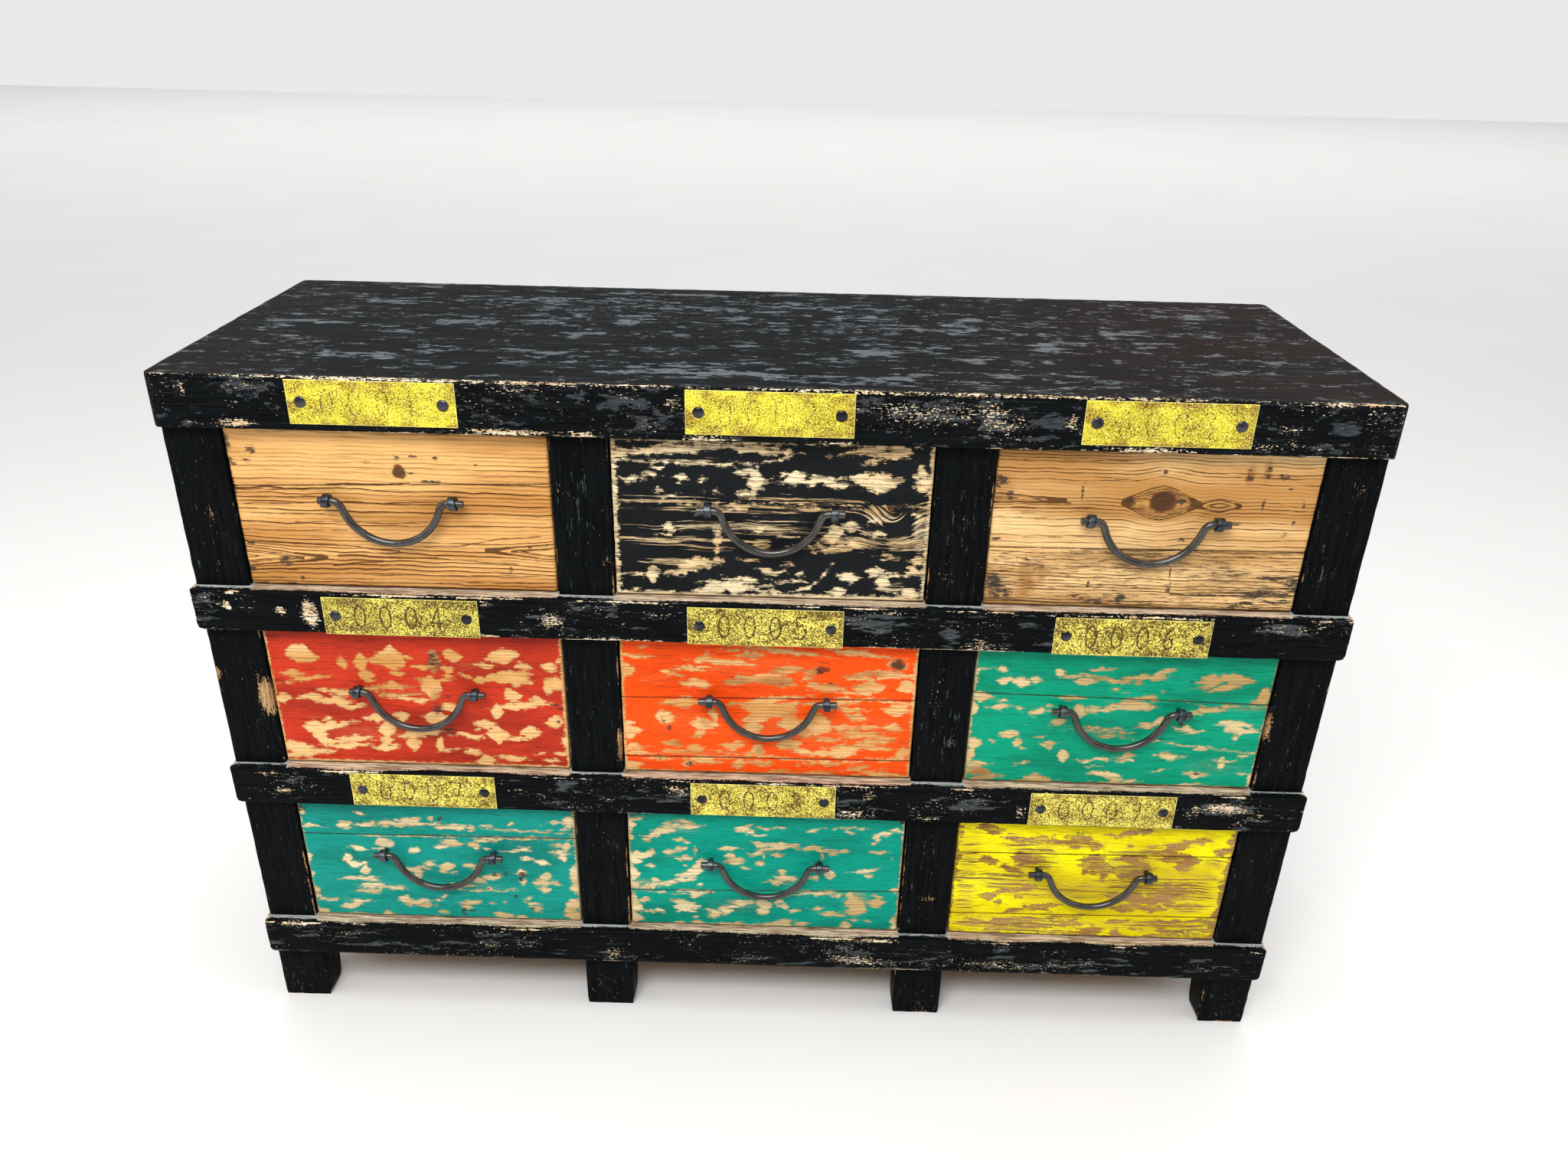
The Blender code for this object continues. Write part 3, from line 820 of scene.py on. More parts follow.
def is_lip_face(face):
    """True for the faces of the underside that are pulled down."""
    centre = face.calc_center_median()
    if face.normal.z > -0.5 or centre.y > lip_high.y:
        return False
    return centre.y < post_lap_back or any(start < centre.x < end for start, end in opening_edges)


def is_upright_corner(edge):
    """True for the four upright corners, the front ones with the lip's part."""
    return (both_ends(edge, lambda co: abs(co.x) > end_x - 0.001)
            and both_ends(edge, lambda co: co.y < panel_low.y + 0.001 or co.y > panel_high.y - 0.001)
            and extent(edge, 2) > 0.01)


def is_lip_end(edge):
    """True for the lip's lower edges at its two ends."""
    return (both_ends(edge, lambda co: co.z < lip_low.z + touching and abs(co.x) > end_x - 0.0125)
            and extent(edge, 1) > 0.005)


def is_upper_rim(edge):
    """True for the edges round the upper face."""
    return (both_ends(edge, lambda co: co.z > panel_high.z - touching)
            and len(edge.link_faces) == 2 and edge.calc_face_angle(0) > 0.8)


def is_lip_front(edge):
    """True for the lip's lower edges in front."""
    return both_ends(edge, lambda co: co.z < lip_low.z + touching and co.y < panel_low.y + touching)


choose(top, "FACE", is_lip_face)
bpy.ops.mesh.extrude_region_move(TRANSFORM_OT_translate={"value": (0, 0, lip_low.z - panel_low.z)})
ease_edges(top, corner_round, 5, is_upright_corner)
ease_edges(top, lip_corner_round, 4, is_lip_end)
ease_edges(top, arris_round, 2, is_upper_rim)
ease_edges(top, arris_round, 2, is_lip_front)
bpy.ops.mesh.select_all(action="SELECT")
bpy.ops.mesh.normals_make_consistent(inside=False)
bpy.ops.object.mode_set(mode="OBJECT")
slice_up(top, top_steps)
wear_edges(top, top_wear)

# %% Mark the top and its lip
lip_chips = (
    "9 27 1 13 1.4, 24 22 7 18 .5, 21 51 1 9, 21 88 6 10 1.4, 76.5 10 1.5 5, 89 13 9 5 .9, 87 92 12 7 1.5,"
    "106 36 1 6, 126 32 2.5 16, 104 94 5 4 1.5, 134 95 7 5 1.5, 165 97 7 4 1.4, 185 42 17 34 .65,"
    "173 68 1 7 .8, 184 85 10 1 1.8, 204 50 7 34 .7, 221 48 2 16 1.1, 273 52 3 8, 274 78 1 10,"
    "277.5 47 .7 12, 267 81 2.5 4, 240 95 15 5 1.4, 60 2 60 3.5 1.1, 190 2 90 3.5 1.0, 285 2 14 3.5 1.0"
)
lip_smears = (
    "24 22 9 18, 87 75 5 5, 104 30 2 10, 115 32 6 18, 122 62 5 12, 216 50 5 25, 286 50 4.5 25,"
    "204 50 6 30 .7, 185 32 15 28 .6, 155 80 12 10 .5"
)
top_smears = (
    "58.5 67 3 3.5, 66.5 72 3 2.5, 68 30 1.4 2.5, 47.5 62 2 2, 36 40 1.4 3, 74 58 1.4 5, 13.5 4 2 2.5,"
    "39 8 9 .6, 65 15 4 .6, 63 38 7 .5, 49 48 10 .6, 20 67 10 .6, 49 80 11 .7, 49 89.5 16 .7, 83 88 16 .7,"
    "12 25 6 3 .6, 24 45 8 3 .5, 30 75 4 3 .7, 82 40 5 3 .6, 90 20 4 3 .7, 55 25 5 2 .6, 42 85 6 4 .7,"
    "8 50 4 3 .6, 15 80 5 3 .6, 72 85 5 3 .7, 93 65 4 4 .6, 60 93 8 2 .7, 33 55 3 2 .7, 50 30 12 20 .35,"
    "35 25 20 14 .3, 70 45 16 12 .3"
)
few_chips = -1.5
points = points_of(top)
on_lip = points[:, 1] < panel_low.y + front_layer
on_panel = (points[:, 2] > panel_high.z - 0.002) & ~on_lip
chips = np.where(on_lip, side_marks(points, (0, 2), lip_chips, three_fronts), few_chips)
smears = np.where(on_lip, side_marks(points, (0, 2), lip_smears, three_fronts), 0)
smears = smears + np.where(on_panel, side_marks(points, (0, 1), top_smears), 0)
share = (points[:, 0] - panel_low.x) / size.x
warmth = np.where(on_lip, 0.0, np.clip((share - 0.55) * 3, 0, 1) + np.clip(0.12 - share, 0, 1) * 5)
add_field(top, "wear", chips, np.zeros(len(points)), smears)
add_field(top, "warmth", warmth, on_panel * 1.0, warmth)
frame_top = black_frame("black_paint_top", across_grain, seed=40.0, scuffs=0.05, gleam=0.025, rough=0.36,
                        patchy=0.28, flakes=(36, 105), scratches=0.3, haze="4A4E52")
dress(top, "top_worn", frame_top, "carcass", "black_paint", "top_panel", "top_front_lip")
print("top has", len(top.data.polygons), "faces")

# %% [markdown]
# ## The drawer fronts
#
# A front is a grid that faces the viewer, fine enough to carry the outlines of the worn islands. Its rim
# is pulled outwards and back in small steps, which rounds the arris, then back to the full thickness,
# and the back is closed by one face. All nine are copies of the first, each with its own mesh.

# %% Model one front
front_low, front_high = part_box("drawer_top_left_front")
front_arris = 0.003
front_columns = 150
front_rows = 160


def round_corners(points, low, high, radius):
    """Pull the corners of an upright board's outline round."""
    for side_x, side_z in ((-1, -1), (-1, 1), (1, -1), (1, 1)):
        corner_x = (high[0] if side_x > 0 else low[0]) - side_x * radius
        corner_z = (high[2] if side_z > 0 else low[2]) - side_z * radius
        out_x = (points[:, 0] - corner_x) * side_x
        out_z = (points[:, 2] - corner_z) * side_z
        inside = (out_x > 0) & (out_z > 0)
        square = np.maximum(out_x, out_z)[inside]
        shrink = square / np.maximum(np.hypot(out_x, out_z)[inside], 1e-9)
        points[inside, 0] = corner_x + side_x * out_x[inside] * shrink
        points[inside, 2] = corner_z + side_z * out_z[inside] * shrink
    return points


def model_board(name, low, high, arris, columns, rows, steps=3):
    """An upright board: a fine grid in front, a rounded rim and one face behind."""
    low, high = Vector(low), Vector(high)
    middle = (low + high) / 2
    bpy.ops.object.select_all(action="DESELECT")
    flat = (high.x - low.x - 2 * arris, high.z - low.z - 2 * arris)
    bpy.ops.mesh.primitive_grid_add(x_subdivisions=columns, y_subdivisions=rows, size=1,
                                    location=(middle.x, low.y, middle.z), rotation=(pi / 2, 0, 0))
    board = bpy.context.object
    board.name = name
    board.scale = (flat[0], flat[1], 1)
    bpy.ops.object.transform_apply(location=True, rotation=True, scale=True)
    bpy.ops.object.mode_set(mode="EDIT")
    bpy.ops.mesh.select_mode(type="EDGE")
    bpy.ops.mesh.select_all(action="SELECT")
    bpy.ops.mesh.region_to_loop()
    reached, sunk = 0.0, 0.0
    for step in range(1, steps + 1):
        turn = pi / 2 * step / steps
        out, back = arris * sin(turn), arris * (1 - cos(turn))
        bpy.ops.mesh.extrude_region_move(TRANSFORM_OT_translate={"value": (0, back - sunk, 0)})
        wider = (flat[0] + 2 * out) / (flat[0] + 2 * reached)
        taller = (flat[1] + 2 * out) / (flat[1] + 2 * reached)
        bpy.ops.transform.resize(value=(wider, 1, taller), center_override=middle)
        reached, sunk = out, back
    bpy.ops.mesh.extrude_region_move(TRANSFORM_OT_translate={"value": (0, high.y - low.y - sunk, 0)})
    bpy.ops.mesh.edge_face_add()
    bpy.ops.mesh.select_all(action="SELECT")
    bpy.ops.mesh.normals_make_consistent(inside=False)
    bpy.ops.object.mode_set(mode="OBJECT")
    return board


first_front = model_board("front_pattern", front_low, front_high, front_arris, front_columns, front_rows)
print("a front has", len(first_front.data.polygons), "faces")

# %% [markdown]
# ## What makes each front its own
#
# Below are the nine fronts, row by row: the boards' joints, the worn islands, the hills and eyes that
# bend the rings, the knots, and the marks: dark stains, lines scratched through the paint, strokes of
# dark grain, rusty patches and speckled ones. All are in percent of the front, from its top left corner.

# %% The nine fronts
kinds_of_mark = ("joints", "islands", "hills", "eyes", "knots",
                 "stains", "lines", "strokes", "rust", "speckles")
fronts = {}


def describe_front(name, border=(5, 5, 5, 3), **marks):
    """Keep the description of one front, read into numbers; the worn border is in millimetres."""
    fronts[name] = {kind: numbers(marks.get(kind, "")) for kind in kinds_of_mark}
    fronts[name]["border"] = border


describe_front(
    "drawer_top_left",
    joints="36.6 30.6",
    eyes="-10 81.5 37 7, 110 73.5 33 6",
    knots="53 25.5 2.6 5 .8",
    strokes="0 43 30 42 .7, 0 47 22 46.2 .5, 30 45 70 44 .6, 4 53 28 52.4 .5, 18 58 60 57 .5,"
    "0 64 40 63 .5, 0 71 26 72.5 .9, 26 72.5 50 76 .7, 30 79.5 50 80.5 1.2, 50 80.5 62 80 .9,"
    "62 80 88 82 .6, 28 86 44 83 .9, 0 90.5 16 89.5 .7, 0 96 40 95 .5, 40 92 100 89.5 .5, 60 96 100 94 .5,"
    "70 71 82 66 .6, 82 66 96 63.5 .5, 58 73 72 70.5 .5, 0 38.6 24 37.4 .6, 30 33.8 56 32.8 .8",
    stains="12.8 84 2.2 4, 7.7 14 1.6 3, 5.5 21 2 1.5, 1 22 2 3, 43.5 20 1 2, 85.3 86 1 2.5,"
    "52.7 16.5 1.2 1.8, 58 15.5 3 .7, 65 16.5 1.1 2, 0 10 2 6, 0 37 1 12, 63 31 4 1.2, 1 90 1.5 2,"
    "2.5 73 1.2 1.5, 13 100 3 2, 4 100 2 2, 56 26 2.5 .8, 94.5 80 .8 .8, 92 71 .7 1, 77 20 .8 1,"
    "17 95 1 1.5",
)
describe_front(
    "drawer_top_middle",
    islands="45 26 2.6 9, 42 20 3.6 3, 43 33 3 2, 57 23 3 5, 63.5 24 8 2.6, 71 26.5 3 2.5, 53 21 2.4 1.2,"
    "84 24 6.2 6, 78 22 3.5 3.5, 97.5 25 3.4 4, 96 18 2 5, 84.5 8 6 1.6, 82 11.5 3 1.5, 21.5 25 2 2.2,"
    "28 25 1.5 1.5, 6.5 25.5 3.5 1.6, 12 22.5 2.4 1.8, 15.7 18 1.4 1, 13 17.5 1.4 1, 14.7 32 1 1.6,"
    "17.5 35.5 2.4 1.1, 29 32.5 1.3 .9, 32.5 33 1.6 1.5, 26 79 6.4 4.4, 32 77 4 2.2, 22 84 5 1.6,"
    "12 86 2.3 5, 8 87 3.4 1.2, 17.5 85 2 1.5, 42 89 4.4 2.6, 38 93 9 3.6, 30 97 6 4, 35 86.5 1 1,"
    "50 83 2.8 2, 52 82.5 2.3 1.1, 56 88.5 3.5 1, 59 84 1.3 2.5, 55.5 77.5 2 1.5, 43 75.5 2.5 .9,"
    "49 93 2 1.6, 60 94 2.5 1.3, 75.5 85 3.6 3.8, 71.5 95 2.6 3.4, 84 81 2.6 3, 86 87 2 4, 90 83 4.4 1.1,"
    "94.5 95 3.6 3.4, 70 57 2.6 7, 74.5 52 3 3.4, 76 61 2 2, 72 66 8 2.6, 64 65 4 1.2, 83 57 3 2,"
    "82 49 1.6 1.6, 95 43 1.2 1.6, 88 71 3 1.6, 46.5 55 1.8 2.2, 17.5 55 2 2.6, 18 59 3.4 .9,"
    "40 43 2.2 1.8, 33 60 1.6 6, 35 44.5 4 1, 33 69 1 3, 96 80 3.4 3, 97 73 3 3, 11 99 4 1.4, 54 98 4 1,"
    "20 6.5 30 2.6, 45 6 10 2.6, 80 5 10 3, 68 100 4 2, 89 5 3 5, 5 10 5 3, 50 43 42 4 .8, 45 54 45 6 1.0,"
    "26 64 26 6 .7, 75 62 14 6 .6, 47 65 4 5 .3, 20 38 20 4 .9, 84 44 8 8 .6, 92 62 8 6 .7, 88 90 8 6 1.1,"
    "97 55 3 20 .5, 60 36 30 3 1.0, 20 12 20 4 1.4, 18 78 12 3 1.0",
    hills="88 48 7 15 26, 66 12 5 9 12",
    knots="89 38 3.2 7",
    lines="69.6 77 66.5 85 1.1, 66.5 85 62.5 93 .9, 2 13.8 20 15.4 .9, 20 15.4 36 15.6 .9,"
    "36 15.6 47 14 .9, 47 14 53 11.6 .8, 53 11.6 57 8.4 .7, 2 39.5 100 38.4 .5, 20 41 80 40.6 .4,"
    "52 59.8 68 60.4 .5",
    border=(6, 5, 6, 4.5),
)
describe_front(
    "drawer_top_right",
    joints="62.4 60.6",
    eyes="-6 31.5 29 3.2, 51.7 32 12.2 10.5, 70 32.5 7 3.4",
    knots="52.3 31 4.8 7.5",
    stains="1.5 21 2.6 5, 5 29.5 1.6 2.8, 27 25.5 .35 5, 77.5 14 1.4 4.6, 83 12 1 5, 51.5 13 .7 1.6,"
    "88 14 2 2, 92 50 1 2, 60.3 55 1.1 2, 2 84 3.4 5, 5 92 4 4, 44 94 1.6 3.6, 37 96 1.5 2.5, 29 92 2 2,"
    "96 31 .4 3, 83.5 32 .4 4, 94 42 .6 2, 76.5 43.5 2.4 1.2, 99 83 2 6, 87 89 3 3, 81 97 3 2.6,"
    "92 78 6 1.6, 58.2 78 .3 6, 58.6 87.5 1 2.6, 74 90 16 .7, 90 88 10 .8, 11 69 2 .8, 13 70 1 .8,"
    "33 85 .4 2.4, 91 21 1 1, 42 30 1.6 3, 58 31 1.6 2, 2 57 1.6 1",
    strokes="0 33.8 24 33.4 .6, 0 37.4 30 36.4 .5, 40 62 66 61.2 1.0, 70 62 100 61 .6, 58.3 73 58.8 82 .7,"
    "58.8 82 59.3 90 .7, 59.3 90 73 90.4 .8, 73 90.4 100 89 .9, 75 88 91 87.4 .8, 90 77.5 100 76 .9,"
    "0 96.5 24 97.5 .9, 24 97.5 60 98.6 .8, 60 98.6 100 99 .7, 66 80 90 83 .4, 10 55 34 54 .4,"
    "4 8 40 7 .4, 30 17 44 18.6 .5, 27.2 20 27.3 32 .7",
    rust="13 84 3.4 12 .9, 17.5 80 1.8 9 .7, 77.6 12.5 1.5 6 .8, 82.5 10 1.2 7 .8, 2 24 4 8 .6",
    speckles="3 86 6 9, 44 95 4 5, 94 92 9 7, 85 96 10 4, 98 82 4 8, 76 75 6 4 .7, 33 94 4 4 .8,"
    "5 71 5 6 .6, 10 42 12 5 .5",
)
describe_front(
    "drawer_middle_left",
    islands="12 19.5 5 6, 8 19 1.6 2, 25.3 24 1.6 4.5, 31.7 23.5 2.6 5.5, 32.7 33 2.6 4, 42 20.5 4.8 8,"
    "37.5 22.5 3 3, 43 31 2 2, 48 19 1.5 1.4, 56.3 22 2 8, 52 26.3 3.2 1.7, 60.5 26.5 2.2 2.5,"
    "60.7 31 1.3 2, 63 17.3 2.9 4.2, 79.7 17 5.3 5, 86.5 23.5 2.6 2, 73 24 3 1.4, 80 31.8 8 4.2,"
    "84 33.5 4 4, 67 31 2.6 1.2, 71 34 2 3.6, 95.3 23.8 2.6 3, 96.5 35 3.4 4.4, 94.5 39 1.6 3.4,"
    "8 33.3 3.6 2.2, 12 37.4 6.4 1.4, 54.5 41 3.1 8.4, 53.5 35.6 3.6 1.4, 59 35.6 2.4 1.1, 40.5 41 6 1.9,"
    "34.5 43.5 3.4 1.2, 33.5 36.5 2 2, 23 46.6 3.6 2.4, 17.5 45 1.6 1.6, 12 50.5 4.4 2.2, 20 53 6 2.6,"
    "27 56.5 3.2 1.8, 40 47.5 4 1.4, 45 49.5 4.4 1.7, 50.5 51.5 2.6 1.4, 59.7 54.5 3 3.2, 82 45 3 4.4,"
    "84 52.8 8.4 2.4, 90.5 48.5 2.4 3, 76 57.5 2.1 5, 17 66.6 1.8 1.3, 12.5 73 3.6 5, 18 71.3 6.5 2.2,"
    "13 79 2.6 3, 15 83.5 2.4 2.6, 24 82 6 2.4, 23 86.5 8 1.7, 28 79.8 4 1, 34 64.6 3.6 2.6,"
    "36.7 73.5 3 6, 36.5 81.5 1.8 2.6, 36 86.5 3.3 2.8, 43 62.5 2.4 2.6, 48.5 76 7 2.4, 45.8 83 2.2 5.6,"
    "55.3 84 1.6 5, 57.5 88.5 2.6 1.1, 54 63.5 3.6 4, 66 76.5 4 2, 62 75 2 1.2, 71.5 67 3.6 3.4,"
    "75.5 75 3.4 5.6, 87 72.5 3 4.4, 82.5 78.3 3.4 1.7, 96 64.5 3 4.2, 66 88.5 2.8 2, 5 88.5 5 4.4,"
    "7 94 9 2.6, 70.5 95 3.5 3.6, 80 93 5 2.4, 89.5 88.5 2.2 1, 97 88.5 3 1.3, 99 79.5 1.4 4.6, 99 19 1 2,"
    "94 94.5 2.2 1.4, 68.5 71 1 1, 3 52 2.6 3, 46 45 8 3 1.6, 70 24 8 2 1.4, 36 76 20 6 2.0",
    knots="55.5 54 1.6 4",
    rust="56.5 22 2.6 9, 56 50 2.4 8 .8",
    speckles="56.5 22 3 10, 55.6 56 3 6, 58.5 73 3 5",
    stains="55.6 56 1 3, 59.5 47 1.4 1.2, 98.5 54 1.4 1, 37.5 29.4 1.2 .6, 37.4 85.6 1.2 .8, 97 64 .5 2,"
    "96 51.5 1.6 1.6",
    border=(3, 3, 4, 2),
)
describe_front(
    "drawer_middle_middle",
    joints="44 40.6, 88.4 86.4",
    islands="54 7.5 14 1.8, 44 11 5 2.4, 5 14 5 1.4, 8 7.6 2 1.6, 1.6 24 3 5, 35 16.4 10 2.2, 28 14 3 2.4,"
    "24 21.5 6 1.7, 17 25.6 3.4 1.4, 40 29.6 5.4 3.2, 50 28 7 4.2, 56 29.5 2.6 3.6, 56 20.5 5 3,"
    "25 32 5 3.6, 66 21.5 4 3.4, 63 27 2.4 2.4, 69 32.4 6 3.4, 83 22.6 7 2.8, 93 22.8 7 2.6,"
    "79 26 2.4 1.6, 84 32 5 5.6, 93 15.4 3.6 4, 80 7.5 10 2.2, 97 31 3 4.6, 86 41.4 16 1.1,"
    "49 43.6 13 2.4, 21 46.6 7 3.6, 50 50 9 6, 46 57 5 5, 57 59 4 6, 45 64 3 4.6, 57 47 4.4 2.4,"
    "77.5 48.6 6 2.4, 80 54 3 2.6, 94.5 47.5 4.6 4.4, 28 62.5 4.6 5, 27 70 3.4 2, 31.5 55 1.4 4,"
    "14.5 58 3.4 6, 2 70 4 5, 1.4 63 2 2, 67 60 5 8, 63.5 66 3.6 3.6, 76 62 4.4 2.6, 85 61.4 4 1.8,"
    "92 60 3 2.6, 82 67 7 3, 88 70.6 6 2.6, 94 63 2.4 2, 86 76 6.4 2.8, 38 78 4.2 3.8, 57 76 4.4 5,"
    "62 81 4.6 2.4, 70 82 6 3.4, 47 81.5 2.4 5.6, 17 77.6 4 2.4, 3 81 4 2.6, 5 85.6 5.4 1.8, 76 80 6 5,"
    "17 84 4 1.8, 25 81 3 3, 97 80 3 4, 92 85.4 6 1.6, 28 90 6 2.6, 22.6 92.6 2.6 3, 40 92 2.4 3.6,"
    "48 91 4 2.4, 72 89.6 10 1.7, 2 95.4 4 3.6, 66 98 7 2, 52 98.4 8 1.2, 90 97.6 7 2.6, 81 94 4 2,"
    "12 90 5 1, 55 86.8 20 .8, 72 44 10 1.6, 71 72 5 2, 76 36 4 1.2, 38 7 5 1, 47 20 26 8 1.9,"
    "60 66 30 14 1.9, 20 62 12 12 2.2, 85 66 14 12 1.6, 12 30 6 4 2, 30 86 20 5 1.6",
    hills="69 21 5 7 9, 93.5 15.5 4 5 9, 14.5 60 6 10 12",
    knots="68.5 20.6 3.4 4.6 .8, 93.3 15 3 5 .8",
    rust="38 29.6 8 5 .9, 52 30 8 4.6 .9, 52 21 5 2.4 .6, 44 12 4 2 .7, 68 20.6 5 7 .8, 93 16 4 6 .6,"
    "79 24 4 2 .7, 33 39.4 2.6 1, 16 50 2.4 2.6, 85 22 5 3 .8, 75 31 8 2 .8, 68 26 5 4 .8, 11 33 1.6 3,"
    "47.5 82 2.4 4 .8, 58 80 3 4 .5, 21 29 3 4 .6, 29 60 3 5 .6, 19 78 3 3 .7",
    stains="14 60 .9 5 .8, 16 65.6 1 3.6 .8, 12.4 88 1.2 2 .8, 22.5 93 1.4 2 .8, 71 29.8 1.4 .6 .7,"
    "9 15 1 .6 .7, 33 39.4 1.4 .7 .7",
    border=(4, 4, 3, 3),
)
describe_front(
    "drawer_middle_right",
    joints="33.4 36.6",
    islands="8.7 15.5 2 1.7, 1 16 2.6 1.2, 0 21 1 5, 10 23.4 2.4 2.2, 15.6 24.6 3 3.2, 20.6 23.2 2.2 2.2,"
    "28 17 1.4 2.6, 32 19.6 4 1.4, 37.4 18.6 3.8 .7, 42 14 3 1.1, 37.4 23.2 3.2 2.8, 47 22.2 7 1.4,"
    "55.5 19.6 6 2, 60.5 18.6 4 2.4, 63.5 14.2 2.8 2, 79 20.2 4 4, 87 18.8 6 4, 84 25 5 2.2,"
    "76.6 25.2 2 .9, 98 30.6 2.6 5.6, 95.4 33.6 1.8 1.8, 34 35.5 4.2 1.1, 47.4 28.6 1.1 1.1, 51 30.6 1 .7,"
    "63.4 28.6 .7 .7, 57.4 34 3.4 2.2, 61.4 35.6 2.4 .9, 54.4 39.6 7 3.4, 47 42.4 6 1.3, 41 42.4 2.6 .8,"
    "36.7 44 2.6 3.4, 37 47 2.4 1, 10.3 42.7 3.4 1.9, 16.3 43.2 1.2 .7, 10.6 38.6 1.2 1, 4.8 42.6 .7 .7,"
    "23 45.6 3.4 1.6, 26.5 41 1 1, 2 36 4.2 2.6, 0.4 45 1.8 4.6, 80 41.6 5 2.2, 75 44.2 2.6 1.2,"
    "87 38 5 .9, 95 37.2 4.6 .5, 72 36 2.6 .4, 30 53.6 2.4 2.4, 44 57.4 6.6 1, 47.5 62.4 2.8 2.4,"
    "53 60 2.4 1, 40 58.4 1.8 .8, 61 54 3.6 2, 64.4 50 1.8 2.8, 73 56 3 2, 77 58.8 2.4 1, 90 51.4 5.4 2.4,"
    "91 56 4 2.6, 96 55.2 1.8 1.2, 91 60.4 .9 1.6, 14 63.4 2.8 3.4, 17 69.4 1.9 3.6, 19.2 73.4 1 1,"
    "24.6 64.4 1 1, 27.4 69.6 2.8 1.9, 28.5 73.4 .9 1.4, 8.2 68.4 1 .9, 1.4 71 3.4 4.4, 1 79 1.6 5,"
    "3 87 4.4 2, 33.5 79 2 4.2, 19.3 85.3 2 .9, 45.6 80.8 5 1.1, 42 82.4 1.2 .7, 55.4 77.4 2.4 2.4,"
    "55.6 81.2 1.6 .9, 69.4 76.6 3.8 2.2, 74 77.4 .8 .5, 80 71 1.9 1.8, 80 69.2 14 .35, 88.2 79.6 2.6 .8,"
    "88.2 83.2 1 1.8, 88.4 77.4 .6 1.2, 94.5 75 1.6 .9, 80.5 90 4.3 2, 67.5 88.5 2 .8, 46.6 91.6 3.2 1.6,"
    "51 93.6 3.4 2.4, 56.6 97.4 3.6 1.1, 53 97 2 2, 25.5 97.4 4.5 3, 24 93.6 .7 .6, 4 92 4.4 3.4,"
    "6 97.4 6 2.4, 99.2 93 1 5, 96.4 88.4 1.6 .9, 78 99 4 1, 44 86 1.2 .5, 41 2 3 2, 20 99.6 6 .9,"
    "50 99.4 6 1.2, 92 40 8 2 1.4, 46 60 8 3 1.2, 30 44 10 3 2.0, 86 84 10 6 2.3",
    rust="5 93 4 5, 12 99 6 2 .8, 41 3 4 3 .6, 81 90 4 2 .5",
    stains="72.6 22 .8 2.4, 80.5 90.4 1 1.4, 71.8 52 1 2",
    border=(1.5, 1.5, 1.5, 1),
)
